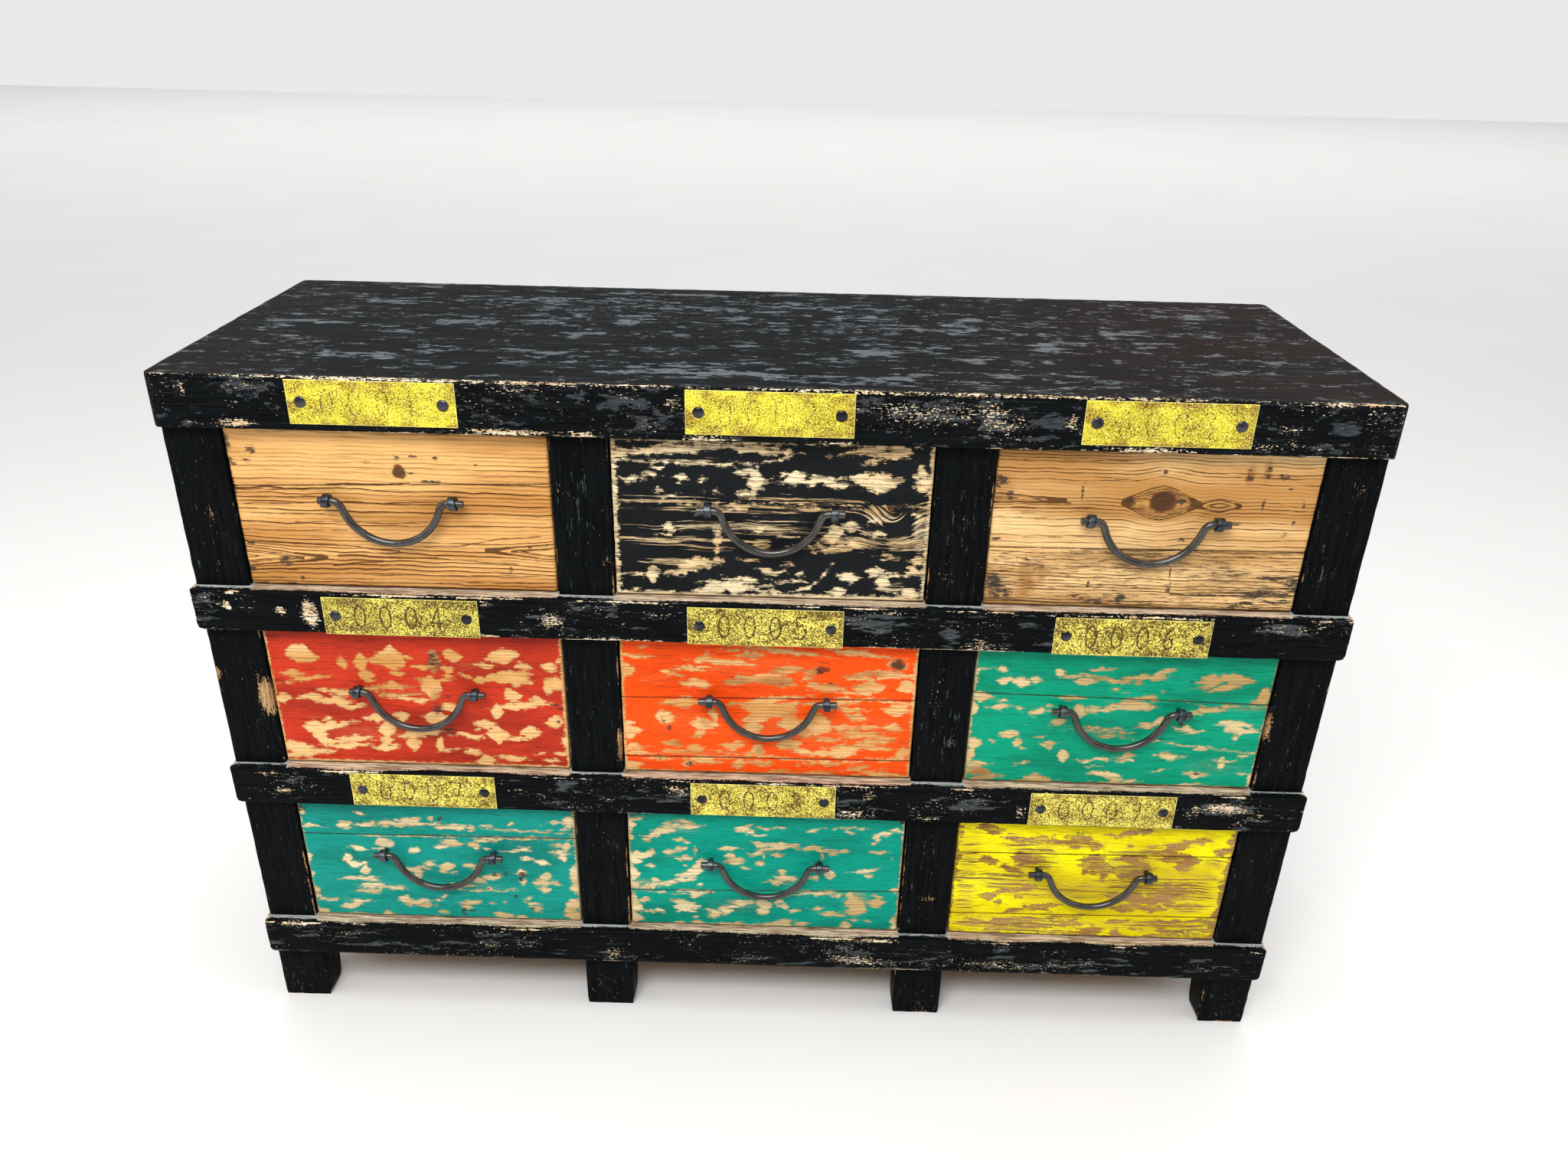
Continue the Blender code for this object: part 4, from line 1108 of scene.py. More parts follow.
describe_front(
    "drawer_bottom_left",
    joints="29.8 28.2",
    islands="40 17.5 4.4 2.4, 42.6 14.4 1.4 1.8, 34 19.8 8 1.8, 24.4 20.6 4 1.7, 31 22.4 2 .7,"
    "22 12 2 1.6, 16 21.4 2.7 2.4, 18 24.6 1.3 1, 48 15 1 1.8, 48 19.4 1.9 1.1, 55.4 20.6 4.4 1.9,"
    "60 19.6 4 .9, 52 21 2 1.1, 68 20 1.7 .9, 76.5 17.5 .8 1.2, 94 15.6 3.8 1.1, 98.4 13 2.6 3,"
    "98 18.6 2.4 1.4, 3 23 2.6 1.4, 5.4 23.4 2 .6, 1 12 1.6 3, 84 22.8 13 .5, 30 36 3.1 3.6, 28 40.4 2 .8,"
    "20 41.6 2.9 1.9, 18.2 40 1.5 .7, 40.3 41.4 1.8 2.6, 55 34.6 3.4 2.6, 51.6 37 2.4 1.7, 49.6 39.4 1 .6,"
    "62.4 36 2.3 2.8, 66.4 32 3 1.6, 69 31 2 1.2, 66.7 38 .8 .9, 53 29.6 3 .7, 72 29.2 5 .5, 83 29 3.2 .9,"
    "78 39.2 3.4 1, 80.5 37 1.8 1.1, 97 35 1.4 4, 93 34.4 1.9 1.2, 94.4 40 2.9 1.6, 95 44.4 1.1 3,"
    "82 46.4 2.1 2, 87 49.6 2.6 2.6, 15 50 2.2 3.2, 18 54.6 3.3 2.6, 21 60.4 1.7 3.4, 17.5 67 5.5 1.5,"
    "23 69 2.4 .8, 22.6 73 3.4 2.4, 28.6 74.6 5.6 1.3, 33 75.6 2.8 .7, 21 77.6 4 1.3, 22.5 79.5 1.2 .7,"
    "45.6 53 2.7 1.6, 42 56.4 2.4 1.2, 46.4 50.6 1 .9, 51.7 53.6 2.3 3.4, 50.5 58.6 1.4 1.7,"
    "53.6 60.4 .8 .7, 60 53.4 2.2 2.4, 61 56.4 1 .6, 39 59.6 2.8 1.8, 40 63.6 1.7 2.3, 37 57.8 1.9 .8,"
    "62 66 3 2.4, 67.6 62.4 3 2.4, 55 71 5 1, 79 58 1.8 1.8, 79.5 66 1.3 3.6, 88.2 61 1.8 2.8,"
    "87 66.6 3.6 2.6, 87 72 2.1 2.6, 99 60 1.9 8, 99 70 1.9 4, 63 74.8 6 .6, 66 73.2 1.1 1.5, 5 86.7 5 .9,"
    "17 87 3.4 1.1, 13 92 2.9 2.6, 15.4 89 2.4 1.8, 34 85 2 2.4, 39 87 5 2, 41.4 90 4 1.6,"
    "46.5 85 1.4 1.1, 59 85.6 3.2 1.8, 57 89.4 1.9 2.3, 82 85.4 2.4 1.1, 84 89 2.4 1.8, 84 92 1.2 1.1,"
    "81 80.5 1.3 1.2, 97.4 85 3 5, 97 95 3.4 3.6, 95 91 1.6 2, 48 95.5 1.6 1.5, 70.5 96.6 3.4 3.2,"
    "78 98.2 2 1.8, 26.5 98 1.6 1.8, 2 98 3 3, 12 99.6 3 .9, 1 78 1.6 3, 1 84 1.5 2, .5 50 1.5 4,"
    ".5 64 1 2, 48.8 81 1 1.2, 75 73 1.4 .5, 92 68 1 .7, 66.6 85.8 .6 .6, 72 85 .5 .6, 66 72 6 3 2.0,"
    "94 38 4 8 1.4, 24 74 8 4 1.6",
    stains="51.4 14.6 1 2.2, 56 94 1.6 4, 60 93.6 3 1.1, 73.4 59 1.2 2.4, 78.6 63 .9 5, 1.2 9 2 3,"
    "71 62 .8 1, 76 79 1 1.4, 69 60.6 2 2, 79 60 1.8 3, 82 90 1 2",
    knots="66 73.4 .6 .9",
    lines="20 30.4 100 28.4 .25",
    border=(1.8, 2, 1, 1),
)
describe_front(
    "drawer_bottom_middle",
    joints="70.6 65.4",
    islands="20.4 11 3 1.9, 22.6 15 3.6 1.9, 17 14.4 2.6 1.6, 12.6 18.8 4 2.8, 9 22.6 2.8 1.8,"
    "7 26.4 1.2 1.8, 14.6 12 .8 1, 18.5 26 1.9 1.6, 20.6 28 1.2 .9, 42 13.6 2.6 1.5, 41.4 16.4 2.8 1.1,"
    "45 19.4 1.8 1.7, 47.8 20.3 1.5 .4, 47.3 13.4 1.5 .8, 50.8 13.8 .9 .7, 53.3 13.8 .7 .9,"
    "55.8 14.2 1.2 1.1, 67.3 14.8 1.8 1.1, 79.5 12.7 4.6 .8, 80.7 16 2 1.2, 93 16 3 1.6, 96.4 13 1.8 1.1,"
    "90 20 1.4 2.6, 88.5 25 .9 1.5, 53 27.4 6 1.3, 54 30.6 5.2 1.4, 60 28.2 2.2 1.2, 47.6 28.6 1.7 1.1,"
    "66 29.2 3 .9, 70 31 4 1.1, 74.5 34 1.7 1.8, 78 32.2 2 1.9, 36 32.6 2.3 1.6, 38.6 32 1.4 .6,"
    "46.6 36 2.7 1.4, 49.5 38 .7 1.8, 54 36.6 2.2 1.9, 91 31.5 2.7 1.5, 14.5 36.4 1.8 2.6, 18 34.6 2 1.6,"
    "20 33 .9 1.2, 24.4 35 .6 2.4, 4 40 4.6 3.4, 1.5 44.6 3.4 2.4, 8 37.4 1 1.4, 21 41.3 3 1.9,"
    "37 38.6 1.6 2.4, 38.8 43 3 2.6, 47.8 43.2 1.8 2.5, 42.7 48 1.7 1.3, 27 45.6 2.8 3.6,"
    "24.4 51.6 2.4 3.8, 20.6 56.4 3.2 2.4, 18 60.6 4.6 1.4, 14 64 3 1.5, 22 59.8 1.5 1.2, 8 48.7 1.3 1.4,"
    "20.6 48.4 .5 .6, 26.2 65 .8 .9, 56.5 50.6 1.7 1.9, 57.3 55.6 3.2 2.1, 54.6 59 3.6 1.1,"
    "56.4 61.4 2.4 .9, 60.4 57.6 1.4 1.1, 87.5 47.4 4.2 1.5, 88 51.4 1.4 1.8, 74 52.5 2 3.8, 68 55 2 1.9,"
    "9.6 61 1.3 1.9, 8.5 65.6 1.2 2.8, 5 67 5 1.4, 1.5 66 2.4 2.4, 98 64 1.9 2.6, 21 70.3 3.4 .9,"
    "25 71.4 3.3 2.2, 24 74 1.7 1.6, 29.4 70 1.8 1.4, 70 68.8 7 1.1, 74 66.6 2.4 2, 77.4 69.6 1.8 2.3,"
    "64 70.3 4 .5, 82.5 71 2.4 3.4, 83.8 77 3.6 5, 84.5 83 3.8 3.2, 82 85.6 1.9 1.1, 91.5 70 1.9 1.8,"
    "91.4 75.4 3.2 2.6, 91 78.6 1.5 1.6, 19 79.4 3.2 1.7, 21 83.4 4.1 3.6, 20.5 87.4 2.8 1.8, 5 79 1.9 2,"
    "44.4 77.8 2.4 1.1, 41 79 3.2 1.7, 37.5 82.6 2.9 1.9, 35 86.2 2.9 2.3, 31.4 87.2 2.9 1.5,"
    "32 90.6 2.8 2.1, 49.8 79.6 2.8 3.8, 49.5 85.6 2.2 2.6, 55.4 77 1.4 2.2, 57.2 81 1.6 2.8,"
    "60.5 84.6 2.1 1.6, 69.7 82.2 2.3 1.1, 75.3 87.4 4.4 1.6, 76 85.2 1.6 .7, 84 91.4 1.7 .8,"
    "88.3 92.6 1.2 .7, 83.5 88.4 1.2 .6, 10.4 88.4 1.9 1.9, 6 89 4 1.1, 1 85 2.6 4, 1.5 95 3 5,"
    "57 94.6 4 2, 55 97 6 2, 64 96 2.4 1.9, 45 98.3 8 1.1, 36 98.2 5 1.3, 25 97 2.4 1.6, 18 99.2 4 1,"
    "80.7 96 2.1 2.1, 80 99.2 1.4 1.6, 98.6 91 1.3 3, 99 97 1.2 3, 3 10 3 1.6, 1 15 1.8 5, 1 25 .9 4,"
    "96.5 38.5 .5 .7, 70.2 37 .4 2.4, 7 71 8 .5, 24 92 .4 .4, 1 56 2 7, 1 78 1.4 6, 84 76 5 10 .2,"
    "5 64 6 4 1.2, 40 82 9 5 1.8, 19 16 8 5 1.8",
    stains="2 5 2 2, 30 71 1 1.6, 25.6 35 .5 2, 48.8 41.6 .8 .7, 99 6 1 2, 68.4 43 .5 2",
    border=(2, 2, 1.5, 1),
)
describe_front(
    "drawer_bottom_right",
    joints="29.6 27.8, 82.2 80.0",
    islands="10 8 3 2.4, 13.4 11 2.6 2.8, 20 16.4 3 1.9, 27 17 6.4 2, 34 17.8 5 1.3, 44 15.6 4.4 2.6,"
    "43 21 3.4 2.4, 38 18.6 3 1, 51 21.6 2.8 2.5, 62 9.6 3.6 3, 67 7.8 3 1.8, 55 12 1.4 .9,"
    "59 11.6 1.4 .6, 79 19 4.6 3, 87 14.4 4 2.3, 82 16.6 3.2 2.2, 77 23.6 2.4 3, 79 29 4.4 3.8,"
    "84 31.6 4 4.6, 82 37.4 2.6 2.4, 96.4 23 2.8 3.6, 98.6 15 1.6 5, 12 35.3 2.6 3.2, 24 33 3.4 4.6,"
    "28 34 3.4 4, 24 39 2 1.6, 18.6 41.4 2.3 1.8, 21.8 43.4 2.8 1.8, 24.4 46 1.4 1.7, 50 33 4.2 4.2,"
    "52 39 6 3.4, 47.4 42.2 1.7 2.6, 54 46 1.1 3.8, 51 43.6 2.4 2, 64 30.6 4.8 2.4, 67.6 34.6 3 3,"
    "70.4 39.4 2.2 2, 65 43.6 3.6 3, 63 46 3 3, 80 57.6 4.4 2.4, 76.4 60.4 3.6 1.6, 78 52.4 2.4 1.1,"
    "20 61 4.4 2.6, 14 66 3.4 2.4, 24 65 1.6 1.7, 27.4 58 2.6 2.6, 68 66 6 4.4, 75 66 6 3.8, 65 74 4 3.6,"
    "71.4 74 4.6 2.6, 79 62.4 3 2.4, 81 69 1.3 2.6, 60 63 3.4 1.7, 78 73 2 1.4, 17.8 71 1.4 1.8,"
    "31 75.6 5 1.9, 24.4 79 4 1.7, 35.6 72.6 3 1.2, 62.4 86 3.8 1.7, 59 87 1 1.4, 79 85.4 5 1.1,"
    "87 84 6 1, 95 83 6 1.6, 98.4 79 1.9 4, 25 87 15 1.6, 45 87.4 4 1.1, 10.6 88 3.4 1.6, 36 92 9 1,"
    "17 96 2.6 3.6, 15 92 1.3 1.8, 53 94.6 4.6 3, 50 98.4 7 2, 41 97 3 1.6, 62.5 95.6 2 4.2, 82 93 8 .9,"
    "93 92 6 .8, 84 96.6 3 .9, 94 98.4 6 1.4, 75 98.8 6 1, 4 99 4 1, .6 33 1 4, .6 45 1 5, .8 12 1 5,"
    "99.4 50 1.1 50, 98.4 87 1.4 4, 62.5 20 2 3.6 .1, 70 21 2 3.6 .1, 50 57 34 8 1.3, 9 90 8 7 .6,"
    "92 45 8 5 .5, 92 62 8 5 .5, 88 72 10 6 .4, 27 26 12 8 .3, 72 26 8 6 .4, 18 52 14 9 .5, 94 33 5 6 .9,"
    "30 90 30 8 .4, 80 89 24 6 .5, 30 38 9 14 .3, 44 20 12 5 .4, 62 38 11 16 .3, 66 52 20 14 .6,"
    "40 62 20 10 1.2, 5 50 5 40 .8, 84 55 14 20 .5",
    speckles="7 10 5 4 .5, 62 9 5 4 .5, 44 10 3 5 .5, 2 53 2 4 .6, 46 84 6 3 .6, 84 93 8 2 .6,"
    "96 95 4 4 .6",
    stains="9 82 .4 6 .7, 43 11 1 3 .7",
    rust="42 19 12 5 .8, 80 28 8 10 .8, 12 34 5 6 .7, 12 9 6 5 .8, 52 96 8 5 .8, 50 40 5 8 .6,"
    "72 70 12 8 .5",
    border=(1.2, 1.4, 2, 1),
)
print("fronts described:", len(fronts))

# %% [markdown]
# ## From descriptions to fronts
#
# Each copy of the pattern is moved to its opening, and its fields are worked out from its own list. The
# joints between boards are shallow valleys in the mesh, so that they show in a raking light.

# %% Finishes of the nine fronts
orange_pine = ("F0BA74", "C18646", "54300F")
weathered_pine = ("F8CE90", "BE8A4C", "4C2E14")
cream_pine = ("F6E2B8", "E0BE88", "7E5A34")
golden_pine = ("F8CC8C", "D69C56", "7E4C22")
grey_pine = ("E8CE9A", "C09C62", "6E4E28")
pale_pine = ("F6E2B4", "CCAC74", "6E4E28")
olive_pine = ("B68C58", "8C6438", "4A2C12")
green_shade = "06281E"
finishes = {
    "drawer_top_left": ("pine_front", drawer_front(
        "bare_pine", orange_pine, 5.2, seed=1.0, rough=0.4)),
    "drawer_top_middle": ("black_front", drawer_front(
        "black_front", cream_pine, 5.0, "13171A", "07090A", 4.0, 1.3, -0.5, murk=0.0, strands=0.32,
        remains=0.9)),
    "drawer_top_right": ("knotty_pine_front", drawer_front(
        "knotty_pine", weathered_pine, 4.2, seed=9.0, rough=0.42, weather=0.75)),
    "drawer_middle_left": ("red_front", drawer_front(
        "red_paint", golden_pine, 4.6, "CE3A20", "7C2014", 12.0, 0.8, 0.4)),
    "drawer_middle_middle": ("orange_front", drawer_front(
        "orange_paint", golden_pine, 4.4, "FF520A", "C43A06", 15.0, remains=0.6, strands=0.28,
        shade="3A2008")),
    "drawer_middle_right": ("emerald_front", drawer_front(
        "emerald_paint", grey_pine, 4.6, "029C78", "006248", 18.0, 0.8, 0.2, shade=green_shade)),
    "drawer_bottom_left": ("teal_front", drawer_front(
        "teal_paint", pale_pine, 4.6, "109688", "045A4E", 21.0, 0.8, 0.3, shade=green_shade)),
    "drawer_bottom_middle": ("sea_green_front", drawer_front(
        "sea_green_paint", pale_pine, 4.6, "009882", "005E4C", 24.0, 0.8, 0.2, shade=green_shade)),
    "drawer_bottom_right": ("yellow_front", drawer_front(
        "yellow_paint", olive_pine, 4.6, "FFF400", "BE9800", 27.0, 1.2, 0.8, murk=0.6, strands=0.24,
        remains=0.75, shade="7A5E08")),
}

# %% Fields of a front
far_off = 30.0
large_eye = 16
large_eye_outlines = (0.0, 3.4, 6.2, 8.8, 11.4)
small_eye_outlines = (0.0, 4.2)


def to_millimetres(percents, width, height):
    """Numbers in percent of a front, by turns across and down, as millimetres."""
    return [percent * (height if place % 2 else width) / 100 for place, percent in enumerate(percents)]


def border_field(across, down, width, height, border):
    """Millimetres inside the worn border: left, right, bottom and top widths."""
    left_width, right_width, bottom_width, top_width = border
    field = np.maximum(left_width - across, right_width - (width - across))
    field = np.maximum(field, bottom_width - (height - down))
    return np.maximum(field, top_width - down)


def ring_field(across, down, hills, eyes, width, height):
    """The height as ring coordinate, raised by hills and parted round eyes, and the eyes' outlines."""
    rings = -down.copy()
    for *ellipse, rise in hills:
        x, y, half_x, half_y = to_millimetres(ellipse, width, height)
        rings += rise * np.exp(-(((across - x) / half_x) ** 2 + ((down - y) / half_y) ** 2))
    drawn = np.full(across.shape, far_off)
    for ellipse in eyes:
        x, y, half_x, half_y = to_millimetres(ellipse, width, height)
        sideways = np.abs(across - x) / half_x
        offset = down - y
        lens = half_y * np.maximum(0, 1 - sideways ** 1.5)
        parted = -y - np.sign(offset) * np.sqrt(np.maximum(offset ** 2 - lens ** 2, 0))
        share = np.clip(1.6 - np.hypot(sideways, offset / (3.2 * half_y)), 0, 1) ** 0.7
        inner = -y + 1.4 * (lens - np.abs(offset))
        rings = np.where(np.abs(offset) < lens, inner, rings * (1 - share) + parted * share)
        thick = 0.8 + 1.3 * np.clip(sideways * 4 - 2.6, 0, 1)
        beyond = np.where(sideways < 1, 0.0, (sideways - 1) * 60)
        for nested in large_eye_outlines if half_y > large_eye else small_eye_outlines:
            outline = np.abs(np.abs(offset) - lens + nested) - thick + 0.04 * nested
            drawn = np.minimum(drawn, np.where(lens > nested, outline + beyond, far_off))
    return rings, drawn


# %% Build the nine fronts
no_joint = 50.0
valley_depth = 0.0009
valley_reach = 1.4
corner_radius = 0.0035
rim_reach = 5.0
front_wear = 0.0014

for place, (drawer, facts) in enumerate(fronts.items()):
    low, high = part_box(drawer + "_front")
    front = own_copy(first_front)
    points = points_of(front) + np.array(low - front_low)
    width, height = (high.x - low.x) * 1000, (high.z - low.z) * 1000
    across, down = (points[:, 0] - low.x) * 1000, (high.z - points[:, 2]) * 1000
    solid = [island for island in facts["islands"] if len(island) == 4]
    streaky = [zone[:4] + [max(0.2, 1.05 - 0.35 * zone[4])] for zone in facts["islands"] if len(zone) == 5]
    bent = torn(across, down, 3.5, 14.0, 2.0 * place)
    islands = island_field(*bent, solid, width / 100, height / 100)
    islands = np.maximum(islands, border_field(across, down, width, height, facts["border"]))
    for *ends, half in facts["lines"]:
        line = to_millimetres(ends, width, height)
        islands = np.maximum(islands, half - line_distance(across, down, line))
    swayed = torn(across, down, 1.6, 34.0, 2.0 * place + 1.0)
    rings, drawn = ring_field(*swayed, facts["hills"], facts["eyes"], width, height)
    wavering = torn(across, down, 1.6, 50.0, 3.0)
    for *ends, half in facts["strokes"]:
        drawn = np.minimum(drawn, line_distance(*wavering, to_millimetres(ends, width, height)) - half)
    seams = [down - (y0 + (y1 - y0) * across / width) * height / 100 for y0, y1 in facts["joints"]]
    seam = seams[0] if seams else np.full(across.shape, no_joint)
    for other in seams[1:]:
        seam = seam * other / (np.abs(seam) + np.abs(other) + 0.001)
    add_field(front, "wear", islands, rings, seam)
    shares = (across / width * 100, down / height * 100)
    kinds = ("knots", "stains", "rust", "speckles")
    knots, stains, rust, speckles = (soft_spots(*shares, facts[kind]) for kind in kinds)
    add_field(front, "marks", knots, stains, soft_spots(*shares, streaky))
    add_field(front, "strokes", drawn, rust, speckles)
    face = points[:, 1] < low.y + front_layer
    for joint in seams:
        points[face, 1] += valley_depth * np.exp(-(joint[face] / valley_reach) ** 2)
    move_points(front, round_corners(points, low, high, corner_radius))
    to_rim = np.minimum.reduce([across, width - across, down, height - down])
    erode(front, to_rim, rim_reach, front_wear, 0.4)
    move_points(front, np.clip(points_of(front), np.array(low), np.array(high)))
    bpy.ops.object.shade_smooth_by_angle(angle=radians(40))
    slot_name, material = finishes[drawer]
    dress(front, drawer + "_painted", material, drawer, slot_name, drawer + "_front")
bpy.data.objects.remove(first_front)
print("fronts built")

# %% [markdown]
# ## Iron
#
# The bails were forged and rubbed: nearly black in the hollows and polished grey where hands and the
# light meet them. A metal with a noisy roughness reads as iron; a smooth one reads as chrome.

# %% Iron finishes
def iron(name, dark, light, rough, seed=0.0, pitted=0.15, metal=0.85, gleam=0.2):
    """Forged iron, from dark to light in clouds, with fine dark pits."""
    finish = Finish(name, rough, metal, gleam)
    cloud = finish.noise((60, 60, 60), 3, 0.55, seed)
    pits = finish.noise((900, 900, 900), 3, 0.6, seed + 3)
    base = finish.mix(cloud.span(0.38, 0.62), dark, light).toward("1E1C1A", pits.span(0.6, 0.7, 0.0, pitted))
    finish.bump(cloud, 0.0004, 0.5 * pitted)
    return finish.done(base, cloud.span(0.3, 0.7, rough - 0.03, rough + 0.06))


bail_iron = iron("rubbed_iron", "35322F", "45423E", 0.26, pitted=0.02, metal=0.5, gleam=0.9)
eye_iron = iron("blue_iron", "33383E", "50575E", 0.36, 5.0)
nail_iron = iron("nail_iron", "2E2E33", "4C4C53", 0.26, 9.0)

# %% [markdown]
# ## Bails
#
# A bail is a round rod: straight through the two eyes, round a shoulder, and down into one wide bow.
# We draw its centreline as a curve, give the curve a thickness, and turn it into a mesh. Its ends were
# cut by hand, so the stub outside each eye has its own length on every drawer, and each eye its own turn.

# %% Make the bails
eye_spacing = 0.142
rod_radius = 0.0043
shoulder_inset = 0.006
shoulder_radius = 0.010
flank_length = 0.008
flank_angle = radians(69)
end_chamfer = 0.0007
end_share = 0.86
# The left and the right stub in millimetres, and the turns of the two eyes in degrees
stubs_and_turns = {
    "drawer_top_left": (9, 11.5, 9, -9),
    "drawer_top_middle": (13, 11.5, -3, 3),
    "drawer_top_right": (11, 13, 8, 8),
    "drawer_middle_left": (9, 13, 9, 9),
    "drawer_middle_middle": (13, 12.5, 4, -5),
    "drawer_middle_right": (13, 13, 7, 9),
    "drawer_bottom_left": (13, 12.5, -7, 6),
    "drawer_bottom_middle": (12.5, 12.5, 3, -4),
    "drawer_bottom_right": (13, 11, 5, 9),
}


def bail_line(stubs):
    """The centreline from the left end to the right end, with its radii."""
    start = eye_spacing / 2 - shoulder_inset
    bow_radius = (start - flank_length * cos(flank_angle)) / sin(flank_angle) - shoulder_radius
    half = []
    for step in range(9):
        turn = flank_angle * step / 8
        half.append((start - shoulder_radius * sin(turn), shoulder_radius * (cos(turn) - 1)))
    bow_top = half[-1][1] - flank_length * sin(flank_angle)
    bow_middle = bow_top + bow_radius * cos(flank_angle)
    for step in range(19):
        turn = flank_angle * (1 - step / 18)
        half.append((bow_radius * sin(turn), bow_middle - bow_radius * cos(turn)))
    line = [(-x, z) for x, z in half[:-1]] + list(reversed(half))
    ends = []
    for stub in stubs:
        reach = eye_spacing / 2 + stub / 1000
        ends.append([(reach, end_share), (reach - end_chamfer, 1.0), (eye_spacing / 2, 1.0)])
    line = [(-x, 0, size) for x, size in ends[0]] + [(x, z, 1.0) for x, z in line]
    return line + [(x, 0, size) for x, size in reversed(ends[1])]


def bail_axis(drawer):
    """The middle of the line on which a bail turns."""
    low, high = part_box(drawer + "_bail")
    return (low.x + high.x) / 2, (low.y + high.y) / 2, high.z - rod_radius


for drawer, (*stubs, _, _) in stubs_and_turns.items():
    middle_x, axis_y, axis_z = bail_axis(drawer)
    rod = bpy.data.curves.new(drawer + "_rod", "CURVE")
    rod.dimensions = "3D"
    rod.bevel_depth = rod_radius
    rod.bevel_resolution = 6
    rod.use_fill_caps = True
    line = bail_line(stubs)
    spline = rod.splines.new("POLY")
    spline.points.add(len(line) - 1)
    for point, (x, z, size) in zip(spline.points, line):
        point.co = (middle_x + x, axis_y, axis_z + z, 1)
        point.radius = size
    bail = bpy.data.objects.new(drawer + "_rod", rod)
    scene.collection.objects.link(bail)
    use_only(bail)
    bpy.ops.object.convert(target="MESH")
    bail = bpy.context.object
    edit_all(bail)
    bpy.ops.mesh.remove_doubles(threshold=merge_distance)
    bpy.ops.mesh.normals_make_consistent(inside=False)
    bpy.ops.object.mode_set(mode="OBJECT")
    bpy.ops.object.shade_smooth_by_angle(angle=radians(40))
    body = drawer.replace("drawer", "bail")
    dress(bail, drawer + "_bail_iron", bail_iron, body, "dark_iron", drawer + "_bail")
print("bails made:", len(stubs_and_turns))

# %% [markdown]
# ## Eyes
#
# The rod turns in eyes bent from flat strip: a band once round the rod, pinched behind it into a neck
# that goes through the front and is held by a nut inside. We open a circle at its back, draw the two
# ends back as legs, pull the line sideways into a ribbon, and give the ribbon its thickness.

# %% Model one eye
band_middle = 0.0065
band_thickness = 0.0028
band_width = 0.0082
band_quarters = 4
leg_slope = 0.0022
leg_straight = 0.0060
leg_half_gap = 0.0016
neck_start = 0.0045
neck_length = 0.004
neck_narrowing = 0.42
bpy.ops.object.select_all(action="DESELECT")
bpy.ops.mesh.primitive_circle_add(vertices=32, radius=band_middle, rotation=(0, pi / 2, 0))
eye = bpy.context.object
bpy.ops.object.transform_apply(location=True, rotation=True, scale=True)
choose(eye, "VERT", lambda corner: corner.co.y > band_middle * 0.93)
bpy.ops.mesh.delete(type="VERT")
for side in (-1, 1):
    choose(eye, "VERT", lambda corner: corner.co.y > band_middle * 0.85 and corner.co.z * side > 0)
    corner = next(c for c in bmesh.from_edit_mesh(eye.data).verts if c.select)
    leg = (0, leg_slope, side * leg_half_gap - corner.co.z)
    bpy.ops.mesh.extrude_region_move(TRANSFORM_OT_translate={"value": leg})
    bpy.ops.mesh.extrude_region_move(TRANSFORM_OT_translate={"value": (0, leg_straight, 0)})
bpy.ops.mesh.select_all(action="SELECT")
bpy.ops.transform.translate(value=(-band_width / 2, 0, 0))
for cut in range(band_quarters):
    bpy.ops.mesh.extrude_region_move(TRANSFORM_OT_translate={"value": (band_width / band_quarters, 0, 0)})
bpy.ops.mesh.select_all(action="SELECT")
bpy.ops.mesh.normals_make_consistent(inside=False)
bpy.ops.object.mode_set(mode="OBJECT")
points = points_of(eye)
points[:, 0] *= 1 - neck_narrowing * np.clip((points[:, 1] - neck_start) / neck_length, 0, 1)
move_points(eye, points)
apply_modifier(eye, "SOLIDIFY", thickness=band_thickness, offset=0)
apply_modifier(eye, "BEVEL", width=0.0008, segments=3, limit_method="ANGLE", angle_limit=radians(50))
bpy.ops.object.shade_smooth_by_angle(angle=radians(50))
print("the eye has", len(eye.data.polygons), "faces")

# %% Put an eye with its shank and nut on both sides of each bail
shank_radius = 0.0029
shank_start = 0.009
nut_radius = 0.0056
nut_thickness = 0.005
nut_inset = 0.0055


def add_shank(middle_x, axis_y, axis_z, tip):
    """The bolt behind an eye: a round shank with a six-sided nut, joined into one piece."""
    bpy.ops.object.select_all(action="DESELECT")
    start = axis_y + shank_start
    middle = (middle_x, (start + tip) / 2, axis_z)
    bpy.ops.mesh.primitive_cylinder_add(vertices=24, radius=shank_radius, depth=tip - start,
                                        location=middle, rotation=(pi / 2, 0, 0))
    shank = bpy.context.object
    bpy.ops.mesh.primitive_cylinder_add(vertices=6, radius=nut_radius, depth=nut_thickness,
                                        location=(middle_x, tip - nut_inset, axis_z), rotation=(pi / 2, 0, 0))
    shank.select_set(True)
    bpy.context.view_layer.objects.active = shank
    bpy.ops.object.join()
    bpy.ops.object.transform_apply(location=True, rotation=True, scale=True)
    apply_modifier(shank, "BEVEL", width=0.0004, segments=2, limit_method="ANGLE")
    bpy.ops.object.shade_smooth_by_angle(angle=radians(40))
    return shank


